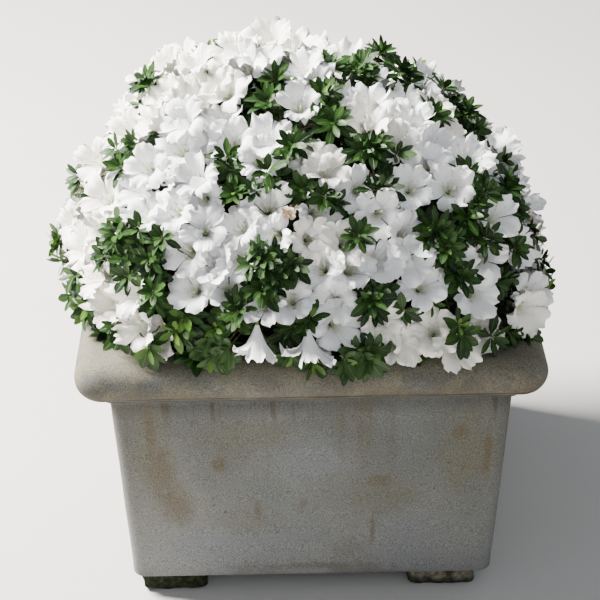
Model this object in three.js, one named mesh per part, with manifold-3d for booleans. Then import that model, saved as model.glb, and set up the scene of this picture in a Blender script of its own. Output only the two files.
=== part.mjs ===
// A white azalea shrub in a square cast-concrete planter on four low feet.
// Millimetres, +Z up. The origin is on the ground under the middle of the planter, whose front faces -Y.
// The shrub is a dome of twelve masses of foliage and blossom. Each one is carried by a bough that leaves
// a short stem in the soil. Azimuths are turned from +X towards +Y.

import * as THREE from "three";
import { mergeVertices } from "three/addons/utils/BufferGeometryUtils.js";
import Module from "manifold-3d";

const wasm = await Module();
wasm.setup();

// Sizes of the planter
const RIM_WIDTH = 557;
const RIM_ROLL = 25; // radius of the half-round edge, so the rim is twice as high
const RIM_CORNER = 34;
const NECK_DEPTH = 11;
const NECK_WIDTH = 500;
const BODY_TOP_WIDTH = 482;
const BODY_BOTTOM_WIDTH = 454;
const BODY_HEIGHT = 277;
const BODY_CORNER = 16; // also the least corner of the hollow
const WALL = 36;
const FLOOR_THICKNESS = 38;
const MOUTH_EDGE = 8; // rounding of the rim's inner edge
const CORNER_STEPS = 4;
const ROLL_STEPS = 8;
const MOUTH_STEPS = 2;
const SOIL_DEPTH = 26; // from the rim's top down to the soil
const FOOT_WIDTH = 84;
const FOOT_HEIGHT = 28;
const FOOT_EDGE = 5; // bevel round the underside, and the radius of the upright edges
const FOOT_PLACES = [
  { name: "front_left", x: -176, y: -178 },
  { name: "front_right", x: 165, y: -178 },
  { name: "back_left", x: -176, y: 177 },
  { name: "back_right", x: 174, y: 178 },
];

// Heights that follow from them
const BODY_BOTTOM = FOOT_HEIGHT;
const NECK_BOTTOM = BODY_BOTTOM + BODY_HEIGHT;
const RIM_BOTTOM = NECK_BOTTOM + NECK_DEPTH;
const RIM_TOP = RIM_BOTTOM + 2 * RIM_ROLL;
const SOIL_TOP = RIM_TOP - SOIL_DEPTH;
const INSIDE_FLOOR = BODY_BOTTOM + FLOOR_THICKNESS;

const CLEARANCE = 0.3; // between neighbouring solids
const TURN = 2 * Math.PI;

// Sizes of the stem and the boughs
const STEM_HEIGHT = 50;
const STEM_FOOT_RADIUS = 27;
const STEM_RADIUS = 19;
const STEM_LEAN = [-6, 3];
const STEM_SIDES = 12;
const STEM_STEPS = 5;
const BOUGH_ROOT_RADIUS = 6.5;
const BOUGH_TIP_RADIUS = 4.5;
const BOUGH_END = 120; // distance from the crown's centre to where a bough ends and its mass begins
const BOUGH_ROOT = 11; // distance from the stem's middle line to the bough's
const BOUGH_SIDES = 6;
const BOUGH_STEPS = 4;

// Sizes of the crown
const CROWN_CENTRE = new THREE.Vector3(0, 0, RIM_TOP + 6);
const CROWN_HALF_WIDTH = 306;
const CROWN_HALF_DEPTH = 292;
const CROWN_HEIGHT = 288;
const LOBE_BLEND = 14; // how sharply one mass's bulge gives way to the next one's
const CREASE_DEPTH = 0.045; // how much lower the creases between the masses lie
const CREASE_WIDTH = 0.16;
const CROWN_FLOOR = RIM_TOP + 4;
const MASS_GAP = 2; // between neighbouring masses

// Sizes of the growth
const CORE_INNER = 0.5; // shares of the crown's radius
const CORE_SHOULDER = 0.77;
const CORE_OUTER = 0.85;
const CORE_MARGIN = 3; // from the core to the edge of the mass's space
const CORE_SIDES = 16;
const MASS_STEM_SIDES = 6;
const MASS_STEM_END = 0.79;
const FORK_FROM = 0.56; // where twigs leave the mass's stem
const FORK_TO = 0.7;
const FLOWER_WIDTH = 62;
const FLOWER_DEPTH = 30;
const FLOWER_NOD = 0.4; // how far a flower turns away from straight outwards
const THROAT_DEPTH = 17;
const LEAF_LENGTH = 31;
const LEAF_WIDTH = 13;
const ROSETTE_NOD = 0.3;
const LEAF_THICKNESS = 6; // in the middle of a rosette, where the leaves spring from one bud
const LEAVES_IN_ROSETTE = 5;
const LEAFY_SHARE = 0.3; // of the heads that are rosettes of leaves and not flowers
const LEAST_SPACING = 46; // between two heads
const SIZES = [1, 0.94, 0.88, 0.82]; // tried in turn at each place
const TWIG_RADIUS = 2.6;
const TWIG_TIP_RADIUS = 1.4;
const TWIG_OVERLAP = 4; // how far a twig runs into its flower or rosette
const SITES = 2600; // points tried over the whole crown
const ORDER_SPREAD = 12; // how far the order in which they are tried strays from edge to middle

// The four masses on top, by the azimuth and elevation of their middles and how far they bulge
const TOP_MASSES = [
  { name: "crown_left", azimuth: 190, elevation: 62, bulge: 1.1 },
  { name: "crown_back", azimuth: 100, elevation: 58, bulge: 0.94 },
  { name: "crown_right", azimuth: 10, elevation: 57, bulge: 0.965 },
  { name: "crown_front", azimuth: 280, elevation: 56, bulge: 1.05 },
];
// The eight round the rim, from +X on in equal steps
const RING_ELEVATION = 19;
const RING_MASSES = [
  { name: "right", bulge: 1.0 },
  { name: "back_right", bulge: 1.03 },
  { name: "back", bulge: 1.03 },
  { name: "back_left", bulge: 0.97 },
  { name: "left", bulge: 1.02 },
  { name: "front_left", bulge: 1.1 },
  { name: "front", bulge: 1.03 },
  { name: "front_right", bulge: 1.12 },
];

const MATERIALS = {
  concrete: new THREE.MeshStandardMaterial({ color: 0x8e8c84, roughness: 0.9, metalness: 0 }),
  mossy_concrete: new THREE.MeshStandardMaterial({ color: 0x55564a, roughness: 0.95, metalness: 0 }),
  soil: new THREE.MeshStandardMaterial({ color: 0x3a2c20, roughness: 1, metalness: 0 }),
  bark: new THREE.MeshStandardMaterial({ color: 0x6d5a48, roughness: 0.9, metalness: 0 }),
  foliage: new THREE.MeshStandardMaterial({ color: 0xc8d2bc, roughness: 0.6, metalness: 0 }),
};

// A repeatable stream of numbers from 0 to 1.
function randomFrom(seed) {
  let state = seed >>> 0;
  return () => {
    state = (state + 0x6d2b79f5) >>> 0;
    let t = Math.imul(state ^ (state >>> 15), 1 | state);
    t = (t + Math.imul(t ^ (t >>> 7), 61 | t)) ^ t;
    return ((t ^ (t >>> 14)) >>> 0) / 4294967296;
  };
}

function direction(azimuth, elevation) {
  const a = THREE.MathUtils.degToRad(azimuth);
  const e = THREE.MathUtils.degToRad(elevation);
  return new THREE.Vector3(Math.cos(a) * Math.cos(e), Math.sin(a) * Math.cos(e), Math.sin(e));
}

// Two unit vectors across a direction, which with it make a right-handed frame.
function across(axis) {
  const helper = Math.abs(axis.z) < 0.9 ? new THREE.Vector3(0, 0, 1) : new THREE.Vector3(1, 0, 0);
  const u = new THREE.Vector3().crossVectors(helper, axis).normalize();
  return [u, new THREE.Vector3().crossVectors(axis, u)];
}

function pointFrom(origin, axis, distance) {
  return origin.clone().addScaledVector(axis, distance);
}

// Rings of equally many points, joined in order and closed by a fan at each end.
function loft(rings, firstPole, lastPole) {
  const n = rings[0].length;
  const points = [...rings.flat(), firstPole, lastPole];
  const faces = [];
  for (let r = 0; r + 1 < rings.length; r++) {
    for (let i = 0; i < n; i++) {
      const j = (i + 1) % n;
      faces.push(r * n + i, r * n + j, (r + 1) * n + j);
      faces.push(r * n + i, (r + 1) * n + j, (r + 1) * n + i);
    }
  }
  const first = rings.length * n;
  const last = (rings.length - 1) * n;
  for (let i = 0; i < n; i++) {
    const j = (i + 1) % n;
    faces.push(first, j, i);
    faces.push(first + 1, last + i, last + j);
  }
  return geometryOf(points, faces);
}

function geometryOf(points, faces) {
  const geometry = new THREE.BufferGeometry().setFromPoints(points);
  geometry.setIndex(faces);
  return geometry;
}

function centreOf(ring) {
  return ring.reduce((sum, p) => sum.add(p), new THREE.Vector3()).divideScalar(ring.length);
}

function solidOf(geometry) {
  const bare = new THREE.BufferGeometry().setAttribute("position", geometry.getAttribute("position"));
  if (geometry.index) bare.setIndex(geometry.index);
  const merged = mergeVertices(bare, 1e-4);
  return new wasm.Manifold(
    new wasm.Mesh({
      numProp: 3,
      vertProperties: new Float32Array(merged.attributes.position.array),
      triVerts: new Uint32Array(merged.index.array),
    }),
  );
}

function geometryFrom(solid) {
  const mesh = solid.getMesh();
  const geometry = new THREE.BufferGeometry();
  geometry.setAttribute("position", new THREE.BufferAttribute(mesh.vertProperties, 3));
  geometry.setIndex(new THREE.BufferAttribute(mesh.triVerts, 1));
  geometry.computeVertexNormals();
  return geometry;
}

// The largest piece of a joined solid, so that a loose scrap or the skin of a sealed hollow is dropped.
function mainBody(solid) {
  return solid.decompose().reduce((a, b) => (b.volume() > a.volume() ? b : a));
}

function named(name, material, geometry) {
  const mesh = new THREE.Mesh(geometry, MATERIALS[material]);
  mesh.name = name;
  return mesh;
}

// The planter: a square with round corners, carried up the outside, over the rim and down the inside.

// A square ring of this half width with round corners, anticlockwise from above.
function squareRing(halfWidth, corner, z) {
  const ring = [];
  for (let quarter = 0; quarter < 4; quarter++) {
    for (let step = 0; step <= CORNER_STEPS; step++) {
      const angle = (TURN / 4) * (quarter + step / CORNER_STEPS);
      const middle = (TURN / 4) * (quarter + 0.5);
      const x = Math.sign(Math.cos(middle)) * (halfWidth - corner) + corner * Math.cos(angle);
      const y = Math.sign(Math.sin(middle)) * (halfWidth - corner) + corner * Math.sin(angle);
      ring.push(new THREE.Vector3(x, y, z));
    }
  }
  return ring;
}

// Points of a round edge in the section, as half width and height, from one angle to another.
function roundEdge(halfWidth, z, radius, from, to, steps) {
  return Array.from({ length: steps + 1 }, (_, i) => {
    const angle = THREE.MathUtils.degToRad(from + ((to - from) * i) / steps);
    return [halfWidth + radius * Math.cos(angle), z + radius * Math.sin(angle)];
  });
}

// Half the width of the hollow at a height: the walls inside slope evenly from the mouth to the floor.
function wallInside(z) {
  const share = (z - INSIDE_FLOOR) / (RIM_TOP - MOUTH_EDGE - INSIDE_FLOOR);
  return THREE.MathUtils.lerp(BODY_BOTTOM_WIDTH / 2 - WALL, BODY_TOP_WIDTH / 2 - WALL, share);
}

function planter() {
  const half = RIM_WIDTH / 2;
  const mouth = wallInside(RIM_TOP - MOUTH_EDGE) + MOUTH_EDGE;
  const profile = [
    [BODY_BOTTOM_WIDTH / 2, BODY_BOTTOM],
    [BODY_TOP_WIDTH / 2, NECK_BOTTOM],
    [NECK_WIDTH / 2, NECK_BOTTOM],
    [NECK_WIDTH / 2, RIM_BOTTOM],
    ...roundEdge(half - RIM_ROLL, RIM_BOTTOM + RIM_ROLL, RIM_ROLL, -90, 90, ROLL_STEPS),
    ...roundEdge(mouth, RIM_TOP - MOUTH_EDGE, MOUTH_EDGE, 90, 180, MOUTH_STEPS),
    [wallInside(INSIDE_FLOOR), INSIDE_FLOOR],
  ];
  const corner = (halfWidth) => Math.max(BODY_CORNER, RIM_CORNER - (half - halfWidth));
  const rings = profile.map(([halfWidth, z]) => squareRing(halfWidth, corner(halfWidth), z));
  return loft(rings, centreOf(rings[0]), centreOf(rings[rings.length - 1]));
}

function foot(x, y) {
  const half = FOOT_WIDTH / 2;
  const top = FOOT_HEIGHT - CLEARANCE;
  const profile = [
    [half - FOOT_EDGE, 0],
    [half, FOOT_EDGE],
    [half, top],
  ];
  const rings = profile.map(([halfWidth, z]) => squareRing(halfWidth, FOOT_EDGE, z));
  return loft(rings, centreOf(rings[0]), centreOf(rings[2])).translate(x, y, 0);
}

function soil() {
  const levels = [INSIDE_FLOOR + CLEARANCE, SOIL_TOP];
  const rings = levels.map((z) => squareRing(wallInside(z) - CLEARANCE, BODY_CORNER, z));
  return loft(rings, centreOf(rings[0]), centreOf(rings[1]));
}

// The limbs

// A tapering limb along a curve, closed at both ends.
function limb(curve, radiusAt, sides, steps) {
  const rings = [];
  for (let i = 0; i <= steps; i++) {
    const t = i / steps;
    const centre = curve.getPoint(t);
    const [u, v] = across(curve.getTangent(t));
    rings.push(
      Array.from({ length: sides }, (_, k) => {
        const angle = (TURN * k) / sides;
        const out = u.clone().multiplyScalar(Math.cos(angle)).addScaledVector(v, Math.sin(angle));
        return pointFrom(centre, out, radiusAt(t));
      }),
    );
  }
  return loft(rings, curve.getPoint(0), curve.getPoint(1));
}

const STEM_FOOT = new THREE.Vector3(0, 0, SOIL_TOP + CLEARANCE);
const STEM_TOP = new THREE.Vector3(STEM_LEAN[0], STEM_LEAN[1], STEM_FOOT.z + STEM_HEIGHT);

// The stem leans, and flares towards the soil, where a level cut ends it. It can be made larger by a
// margin, to cut the boughs back from it.
function stem(extra = 0) {
  const rings = Array.from({ length: STEM_STEPS + 1 }, (_, i) => {
    const t = i / STEM_STEPS;
    const radius = STEM_RADIUS + (STEM_FOOT_RADIUS - STEM_RADIUS) * (1 - t) ** 3 + extra;
    const centre = STEM_FOOT.clone().lerp(STEM_TOP, t);
    if (i === STEM_STEPS) centre.z += extra;
    return Array.from({ length: STEM_SIDES }, (_, k) => {
      const angle = (TURN * k) / STEM_SIDES;
      const out = new THREE.Vector3(Math.cos(angle), Math.sin(angle), 0);
      return pointFrom(centre, out, radius);
    });
  });
  return loft(rings, centreOf(rings[0]), centreOf(rings[STEM_STEPS]));
}

const RING = RING_MASSES.map((mass, i) => {
  return { ...mass, azimuth: (360 / RING_MASSES.length) * i, elevation: RING_ELEVATION };
});

const MASSES = [...TOP_MASSES, ...RING].map((mass, index) => {
  return { ...mass, index, axis: direction(mass.azimuth, mass.elevation) };
});

// The crown's radius towards a direction: that of half an ellipsoid, swollen by the masses near it and
// creased where two of them meet.
function crownRadius(d) {
  const ellipsoid = 1 / Math.hypot(d.x / CROWN_HALF_WIDTH, d.y / CROWN_HALF_DEPTH, d.z / CROWN_HEIGHT);
  const dots = MASSES.map((mass) => mass.axis.dot(d));
  const weights = dots.map((dot) => Math.exp(LOBE_BLEND * (dot - 1)));
  const total = weights.reduce((a, b) => a + b);
  const bulge = weights.reduce((sum, weight, i) => sum + (weight * MASSES[i].bulge) / total, 0);
  const [second, first] = dots.sort((a, b) => a - b).slice(-2);
  const apart = Math.min(1, (first - second) / CREASE_WIDTH);
  return ellipsoid * bulge * (1 - CREASE_DEPTH * (1 - apart) ** 2);
}

function boughEnd(mass) {
  return pointFrom(CROWN_CENTRE, mass.axis, BOUGH_END);
}

// A bough bends into the direction of its mass. The top ones leave the stem's head, the others its side.
function boughCurve(mass) {
  const end = boughEnd(mass);
  const depth = mass.index < TOP_MASSES.length ? BOUGH_ROOT_RADIUS : STEM_HEIGHT / 2;
  const level = new THREE.Vector3(mass.axis.x, mass.axis.y, 0).normalize();
  const root = pointFrom(STEM_TOP, level, BOUGH_ROOT).setZ(STEM_TOP.z - depth);
  const middle = pointFrom(end, mass.axis, -0.5 * root.distanceTo(end));
  return new THREE.QuadraticBezierCurve3(root, middle, end);
}

function bough(mass) {
  const radiusAt = (t) => THREE.MathUtils.lerp(BOUGH_ROOT_RADIUS, BOUGH_TIP_RADIUS, t);
  const whole = solidOf(limb(boughCurve(mass), radiusAt, BOUGH_SIDES, BOUGH_STEPS));
  return geometryFrom(mainBody(whole.subtract(solidOf(stem(CLEARANCE)))));
}

// The growth

// A solid like a shallow double cone, whose outline repeats round its axis. Each point of the outline is
// given by its angle as a share of one repeat, its distance from the axis and its height above the base.
function whorl(base, axis, turn, repeats, outline, topHeight) {
  const [u, v] = across(axis);
  const rim = [];
  for (let repeat = 0; repeat < repeats; repeat++) {
    for (const [share, reach, height] of outline) {
      const angle = turn + (TURN * (repeat + share)) / repeats;
      const out = u.clone().multiplyScalar(Math.cos(angle)).addScaledVector(v, Math.sin(angle));
      rim.push(pointFrom(pointFrom(base, axis, height), out, reach));
    }
  }
  return loft([rim], base, pointFrom(base, axis, topHeight));
}

// A flower: five blunt petals round a throat, and behind them a cone down to the flower's stalk.
function flower(base, axis, turn, size) {
  const radius = 0.5 * FLOWER_WIDTH * size;
  const depth = FLOWER_DEPTH * size;
  const outline = [
    [0, 0.6 * radius, 0.72 * depth],
    [0.28, radius, 0.95 * depth],
    [0.72, radius, 0.95 * depth],
  ];
  return whorl(base, axis, turn, 5, outline, depth - THROAT_DEPTH * size);
}

// A rosette of leaves that spread from one bud and rise towards their tips.
function rosette(base, axis, turn, size) {
  const length = LEAF_LENGTH * size;
  const share = ((0.5 * LEAF_WIDTH) / (0.6 * LEAF_LENGTH)) * (LEAVES_IN_ROSETTE / TURN);
  const outline = [
    [0, length, LEAF_THICKNESS + 0.34 * length],
    [share, 0.6 * length, LEAF_THICKNESS + 0.16 * length],
    [0.5, 0.16 * length, 0.6 * LEAF_THICKNESS],
    [1 - share, 0.6 * length, LEAF_THICKNESS + 0.16 * length],
  ];
  return whorl(base, axis, turn, LEAVES_IN_ROSETTE, outline, LEAF_THICKNESS);
}

function twig(from, to) {
  const radiusAt = (t) => THREE.MathUtils.lerp(TWIG_RADIUS, TWIG_TIP_RADIUS, t);
  return limb(new THREE.LineCurve3(from, to), radiusAt, 3, 1);
}

// How far a point lies inside a mass's space: the least distance to the planes halfway to its neighbours
// and to the level that clears the rim.
function depthInside(mass, point) {
  const from = point.clone().sub(CROWN_CENTRE);
  const sides = MASSES.filter((other) => other !== mass).map((other) => {
    const normal = mass.axis.clone().sub(other.axis).normalize();
    return normal.dot(from) - MASS_GAP / 2;
  });
  return Math.min(...sides, point.z - CROWN_FLOOR);
}

function verticesOf(geometry) {
  const position = geometry.getAttribute("position");
  const vertex = (_, i) => new THREE.Vector3().fromBufferAttribute(position, i);
  return Array.from({ length: position.count }, vertex);
}

function staysInside(mass, geometry) {
  return verticesOf(geometry).every((p) => depthInside(mass, p) > 0);
}

function toward(axis, angle, spread) {
  const [u, v] = across(axis);
  const out = u.multiplyScalar(Math.cos(angle)).addScaledVector(v, Math.sin(angle));
  return axis.clone().multiplyScalar(Math.cos(spread)).addScaledVector(out, Math.sin(spread));
}

// The core: a thick curved pad that fills the inner part of the mass's space.
function core(mass) {
  const step = 0.01;
  const innerPoint = (d) => pointFrom(CROWN_CENTRE, d, CORE_INNER * crownRadius(d));
  const fits = (d) => depthInside(mass, innerPoint(d)) > CORE_MARGIN;
  const spreads = Array.from({ length: CORE_SIDES }, (_, k) => {
    let spread = 0;
    while (fits(toward(mass.axis, (TURN * k) / CORE_SIDES, spread + step))) spread += step;
    return spread;
  });
  const ring = (spreadShare, radiusShare) =>
    spreads.map((spread, k) => {
      const d = toward(mass.axis, (TURN * k) / CORE_SIDES, spread * spreadShare);
      return pointFrom(CROWN_CENTRE, d, crownRadius(d) * radiusShare);
    });
  const radius = crownRadius(mass.axis);
  return loft(
    [ring(0.97, CORE_INNER), ring(1, CORE_SHOULDER), ring(0.9, CORE_OUTER)],
    pointFrom(CROWN_CENTRE, mass.axis, radius * CORE_INNER),
    pointFrom(CROWN_CENTRE, mass.axis, radius * CORE_OUTER),
  );
}

// Directions spread evenly over the crown.
const SITE_DIRECTIONS = Array.from({ length: SITES }, (_, i) => {
  const golden = Math.PI * (3 - Math.sqrt(5));
  const height = (i + 0.5) / SITES;
  const level = Math.sqrt(1 - height * height);
  return new THREE.Vector3(level * Math.cos(golden * i), level * Math.sin(golden * i), height);
});

// Where a twig leaves the mass's stem, hidden in the core.
function fork(mass, random) {
  const share = THREE.MathUtils.lerp(FORK_FROM, FORK_TO, random());
  return pointFrom(CROWN_CENTRE, mass.axis, crownRadius(mass.axis) * share);
}

function nodding(d, amount, random) {
  const nod = new THREE.Vector3(random() - 0.5, random() - 0.5, random() - 0.5);
  return d.clone().addScaledVector(nod, amount).normalize();
}

function flowerAt(d, size, random) {
  const base = pointFrom(CROWN_CENTRE, d, crownRadius(d) - FLOWER_DEPTH);
  const axis = nodding(d, FLOWER_NOD, random);
  return { base, axis, head: flower(base, axis, TURN * random(), size) };
}

function rosetteAt(d, size, random) {
  const base = pointFrom(CROWN_CENTRE, d, crownRadius(d) - 0.55 * LEAF_LENGTH);
  const axis = nodding(d, ROSETTE_NOD, random);
  return { base, axis, head: rosette(base, axis, TURN * random(), size) };
}

// A mass: its core on the stem that carries on from the bough, with every flower or rosette of leaves that
// keeps to the mass's space and touches none before it. Places near the edge of the space come first, so
// that the crown closes over the gaps between the masses.
function foliage(mass) {
  const random = randomFrom(500 + mass.index);
  const stemFrom = pointFrom(boughEnd(mass), mass.axis, CLEARANCE);
  const stemTo = pointFrom(CROWN_CENTRE, mass.axis, crownRadius(mass.axis) * MASS_STEM_END);
  const stemRadius = (t) => THREE.MathUtils.lerp(BOUGH_TIP_RADIUS, TWIG_RADIUS, t);
  const massStem = limb(new THREE.LineCurve3(stemFrom, stemTo), stemRadius, MASS_STEM_SIDES, 1);
  const parts = [solidOf(core(mass)), solidOf(massStem)];
  const places = SITE_DIRECTIONS.map((d) => ({ d, point: pointFrom(CROWN_CENTRE, d, crownRadius(d)) }))
    .filter(({ point }) => depthInside(mass, point) > 0)
    .map((place) => ({ ...place, order: depthInside(mass, place.point) + ORDER_SPREAD * random() }))
    .sort((a, b) => a.order - b.order);
  const heads = [];
  const grow = ({ d, point }) => {
    if (heads.some((head) => head.point.distanceTo(point) < LEAST_SPACING)) return;
    const make = random() < LEAFY_SHARE ? rosetteAt : flowerAt;
    for (const size of SIZES) {
      const { base, axis, head } = make(d, size, random);
      const shoot = twig(fork(mass, random), pointFrom(base, axis, TWIG_OVERLAP));
      if (!staysInside(mass, head) || !staysInside(mass, shoot)) continue;
      const solid = solidOf(head);
      if (heads.some((other) => !other.solid.intersect(solid).isEmpty())) continue;
      heads.push({ point, solid });
      parts.push(solid, solidOf(shoot));
      return;
    }
  };
  places.forEach(grow);
  const joined = parts.reduce((a, b) => a.add(b));
  return geometryFrom(mainBody(joined));
}

const azalea = new THREE.Group();
azalea.name = "potted_azalea";
azalea.add(named("planter", "concrete", planter()));
for (const { name, x, y } of FOOT_PLACES) {
  azalea.add(named("foot_" + name, "mossy_concrete", foot(x, y)));
}
azalea.add(named("soil", "soil", soil()));
azalea.add(named("stem", "bark", stem()));
for (const mass of MASSES) {
  azalea.add(named("bough_" + mass.name, "bark", bough(mass)));
  azalea.add(named("foliage_" + mass.name, "foliage", foliage(mass)));
}

export default azalea;
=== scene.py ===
import functools

import bpy
import numpy as np
from bpy.props import FloatProperty, FloatVectorProperty, IntProperty, PointerProperty
from mathutils import Matrix, Vector


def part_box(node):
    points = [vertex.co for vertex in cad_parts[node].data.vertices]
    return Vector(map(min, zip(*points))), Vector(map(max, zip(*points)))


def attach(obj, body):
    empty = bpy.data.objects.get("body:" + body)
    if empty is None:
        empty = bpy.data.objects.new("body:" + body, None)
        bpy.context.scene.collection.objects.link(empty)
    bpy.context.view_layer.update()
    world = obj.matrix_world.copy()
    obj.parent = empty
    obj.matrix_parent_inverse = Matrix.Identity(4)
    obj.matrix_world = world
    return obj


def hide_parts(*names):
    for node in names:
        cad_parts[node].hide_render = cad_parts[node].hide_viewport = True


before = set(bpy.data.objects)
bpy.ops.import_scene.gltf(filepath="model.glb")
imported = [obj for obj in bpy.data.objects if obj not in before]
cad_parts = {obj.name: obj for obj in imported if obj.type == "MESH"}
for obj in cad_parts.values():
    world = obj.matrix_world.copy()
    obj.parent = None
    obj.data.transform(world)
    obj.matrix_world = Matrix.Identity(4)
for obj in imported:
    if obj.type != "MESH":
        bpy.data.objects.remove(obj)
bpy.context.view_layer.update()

bl_info = {
    "name": "Potted Azalea",
    "version": (1, 0, 0),
    "blender": (4, 5, 0),
    "location": "3D View > Sidebar > Azalea",
    "description": "Builds a white azalea shrub in a square cast-concrete planter",
    "category": "Add Mesh",
}

# Metres, +Z up. The planter's front faces -Y. Azimuths are turned from +X towards +Y.

# Planter
RIM_HALF = 0.2785
RIM_ROLL = 0.025
RIM_CORNER = 0.034
NECK_HALF = 0.25
NECK_EDGE = 0.003
BODY_TOP_HALF = 0.241
BODY_BOTTOM_HALF = 0.227
BODY_EDGE = 0.002
BODY_CORNER = 0.016
MOUTH_EDGE = 0.008
WALL = 0.036
BODY_BOTTOM = 0.028
NECK_BOTTOM = 0.305
RIM_BOTTOM = 0.316
RIM_TOP = 0.366
INSIDE_FLOOR = 0.066
SOIL_TOP = 0.34
CLEARANCE = 0.0003

# Stem and boughs
STEM_FOOT = np.array([0.0, 0.0, SOIL_TOP + CLEARANCE])
STEM_TOP = np.array([-0.006, 0.003, SOIL_TOP + CLEARANCE + 0.05])
STEM_FOOT_RADIUS = 0.027
STEM_RADIUS = 0.019
BOUGH_ROOT = 0.011
BOUGH_ROOT_RADIUS = 0.0065
BOUGH_TIP_RADIUS = 0.0045
BOUGH_END = 0.12

# Crown, by the same rule as the solids
CROWN_CENTRE = np.array([0.0, 0.0, 0.372])
CROWN_HALVES = np.array([0.306, 0.292, 0.288])
LOBE_BLEND = 14.0
CREASE_DEPTH = 0.045
CREASE_WIDTH = 0.16
MASS_STEM_END = 0.79
MASS_STEM_TIP_RADIUS = 0.0026
FORK_SPAN = (0.5, 0.72)
TOP_MASSES = (
    ("crown_left", 190, 62, 1.1),
    ("crown_back", 100, 58, 0.94),
    ("crown_right", 10, 57, 0.965),
    ("crown_front", 280, 56, 1.05),
)
RING_MASSES = (
    ("right", 0, 19, 1.0),
    ("back_right", 45, 19, 1.03),
    ("back", 90, 19, 1.03),
    ("back_left", 135, 19, 0.97),
    ("left", 180, 19, 1.02),
    ("front_left", 225, 19, 1.1),
    ("front", 270, 19, 1.03),
    ("front_right", 315, 19, 1.12),
)
MASSES = TOP_MASSES + RING_MASSES

# Blooms that show from the front: azimuth, elevation, how far the bloom turns to the front and how far it
# is open. The last two go from 0 to 1.
FRONT_BLOOMS = (
    (168, 78, 0.0, 0.8), (206, 81, 0.3, 0.8), (245, 81, 0.2, 0.8), (208, 72, 0.2, 0.8),
    (185, 58, 0.5, 1.0), (204, 64, 0.5, 1.0), (232, 73, 0.4, 0.9), (265, 73, 0.2, 0.6),
    (205, 54, 0.2, 0.8), (217, 57, 0.3, 0.9), (227, 62, 0.2, 0.8), (209, 48, 0.2, 0.9),
    (200, 42, 0.2, 0.9), (224, 51, 0.4, 0.9), (233, 56, 0.4, 0.8), (243, 51, 0.5, 0.9),
    (255, 54, 0.4, 0.8), (193, 31, 0.3, 0.9), (222, 39, 1.0, 1.0), (237, 41, 0.8, 1.0),
    (210, 29, 0.9, 1.0), (180, 17, 0.0, 0.7), (226, 46, 0.5, 0.8), (234, 33, 0.9, 1.0),
    (255, 48, 0.3, 0.6), (226, 31, 0.3, 0.8), (194, 15, 0.0, 0.8), (215, 22, 0.2, 0.6),
    (243, 31, 0.6, 1.0), (239, 25, 0.5, 0.8), (250, 33, 0.8, 0.8), (258, 38, 0.9, 0.6),
    (260, 31, 0.4, 0.8), (246, 24, 0.5, 0.6), (206, 15, 0.0, 0.8), (252, 26, 0.4, 0.6),
    (242, 18, 1.0, 1.0), (251, 19, 0.8, 0.6), (217, 13, 0.3, 0.9), (222, 8, 0.5, 1.0),
    (229, 14, 0.5, 0.8), (232, 7, 0.8, 0.7), (235, 5, 0.4, 0.4), (259, 17, 0.3, 0.8),
    (265, 18, 0.7, 0.5), (274, 73, 0.3, 0.6), (287, 66, 0.4, 0.8), (359, 79, 0.0, 0.8),
    (352, 69, 0.2, 0.6), (302, 62, 0.6, 0.9), (332, 60, 0.4, 0.8), (318, 55, 0.4, 0.8),
    (0, 58, 0.0, 0.6), (293, 56, 0.6, 0.7), (302, 49, 0.7, 0.8), (338, 54, 0.2, 0.8),
    (329, 47, 0.5, 0.9), (314, 45, 0.6, 0.8), (323, 40, 0.5, 0.8), (332, 37, 0.2, 0.8),
    (276, 47, 0.5, 0.8), (270, 50, 0.3, 0.8), (309, 42, 0.5, 0.7), (299, 39, 0.7, 0.8),
    (309, 36, 0.8, 0.5), (285, 41, 0.7, 0.9), (323, 32, 0.3, 0.9), (343, 22, 0.2, 0.7),
    (266, 62, 0.2, 0.6), (273, 37, 0.9, 1.0), (288, 35, 0.9, 0.8), (279, 30, 0.4, 0.8),
    (271, 31, 0.4, 0.6), (295, 29, 0.9, 0.8), (318, 27, 0.8, 0.9), (272, 25, 0.4, 0.8),
    (287, 25, 0.7, 0.9), (280, 25, 0.3, 0.8), (275, 17, 0.9, 0.9), (296, 18, 0.8, 1.0),
    (294, 24, 0.4, 0.8), (286, 11, 0.9, 0.6), (298, 7, 1.0, 0.9), (312, 20, 0.6, 0.8),
    (304, 21, 0.4, 0.8), (308, 13, 0.6, 0.8), (320, 5, 0.9, 0.8), (328, 16, 0.2, 0.8),
    (328, 5, 0.5, 0.7), (309, 4, 0.4, 0.7), (302, 3, 0.6, 0.6), (276, 11, 0.4, 0.8),
    (289, 6, 0.2, 0.8), (294, 5, 0.4, 0.8),
)
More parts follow.
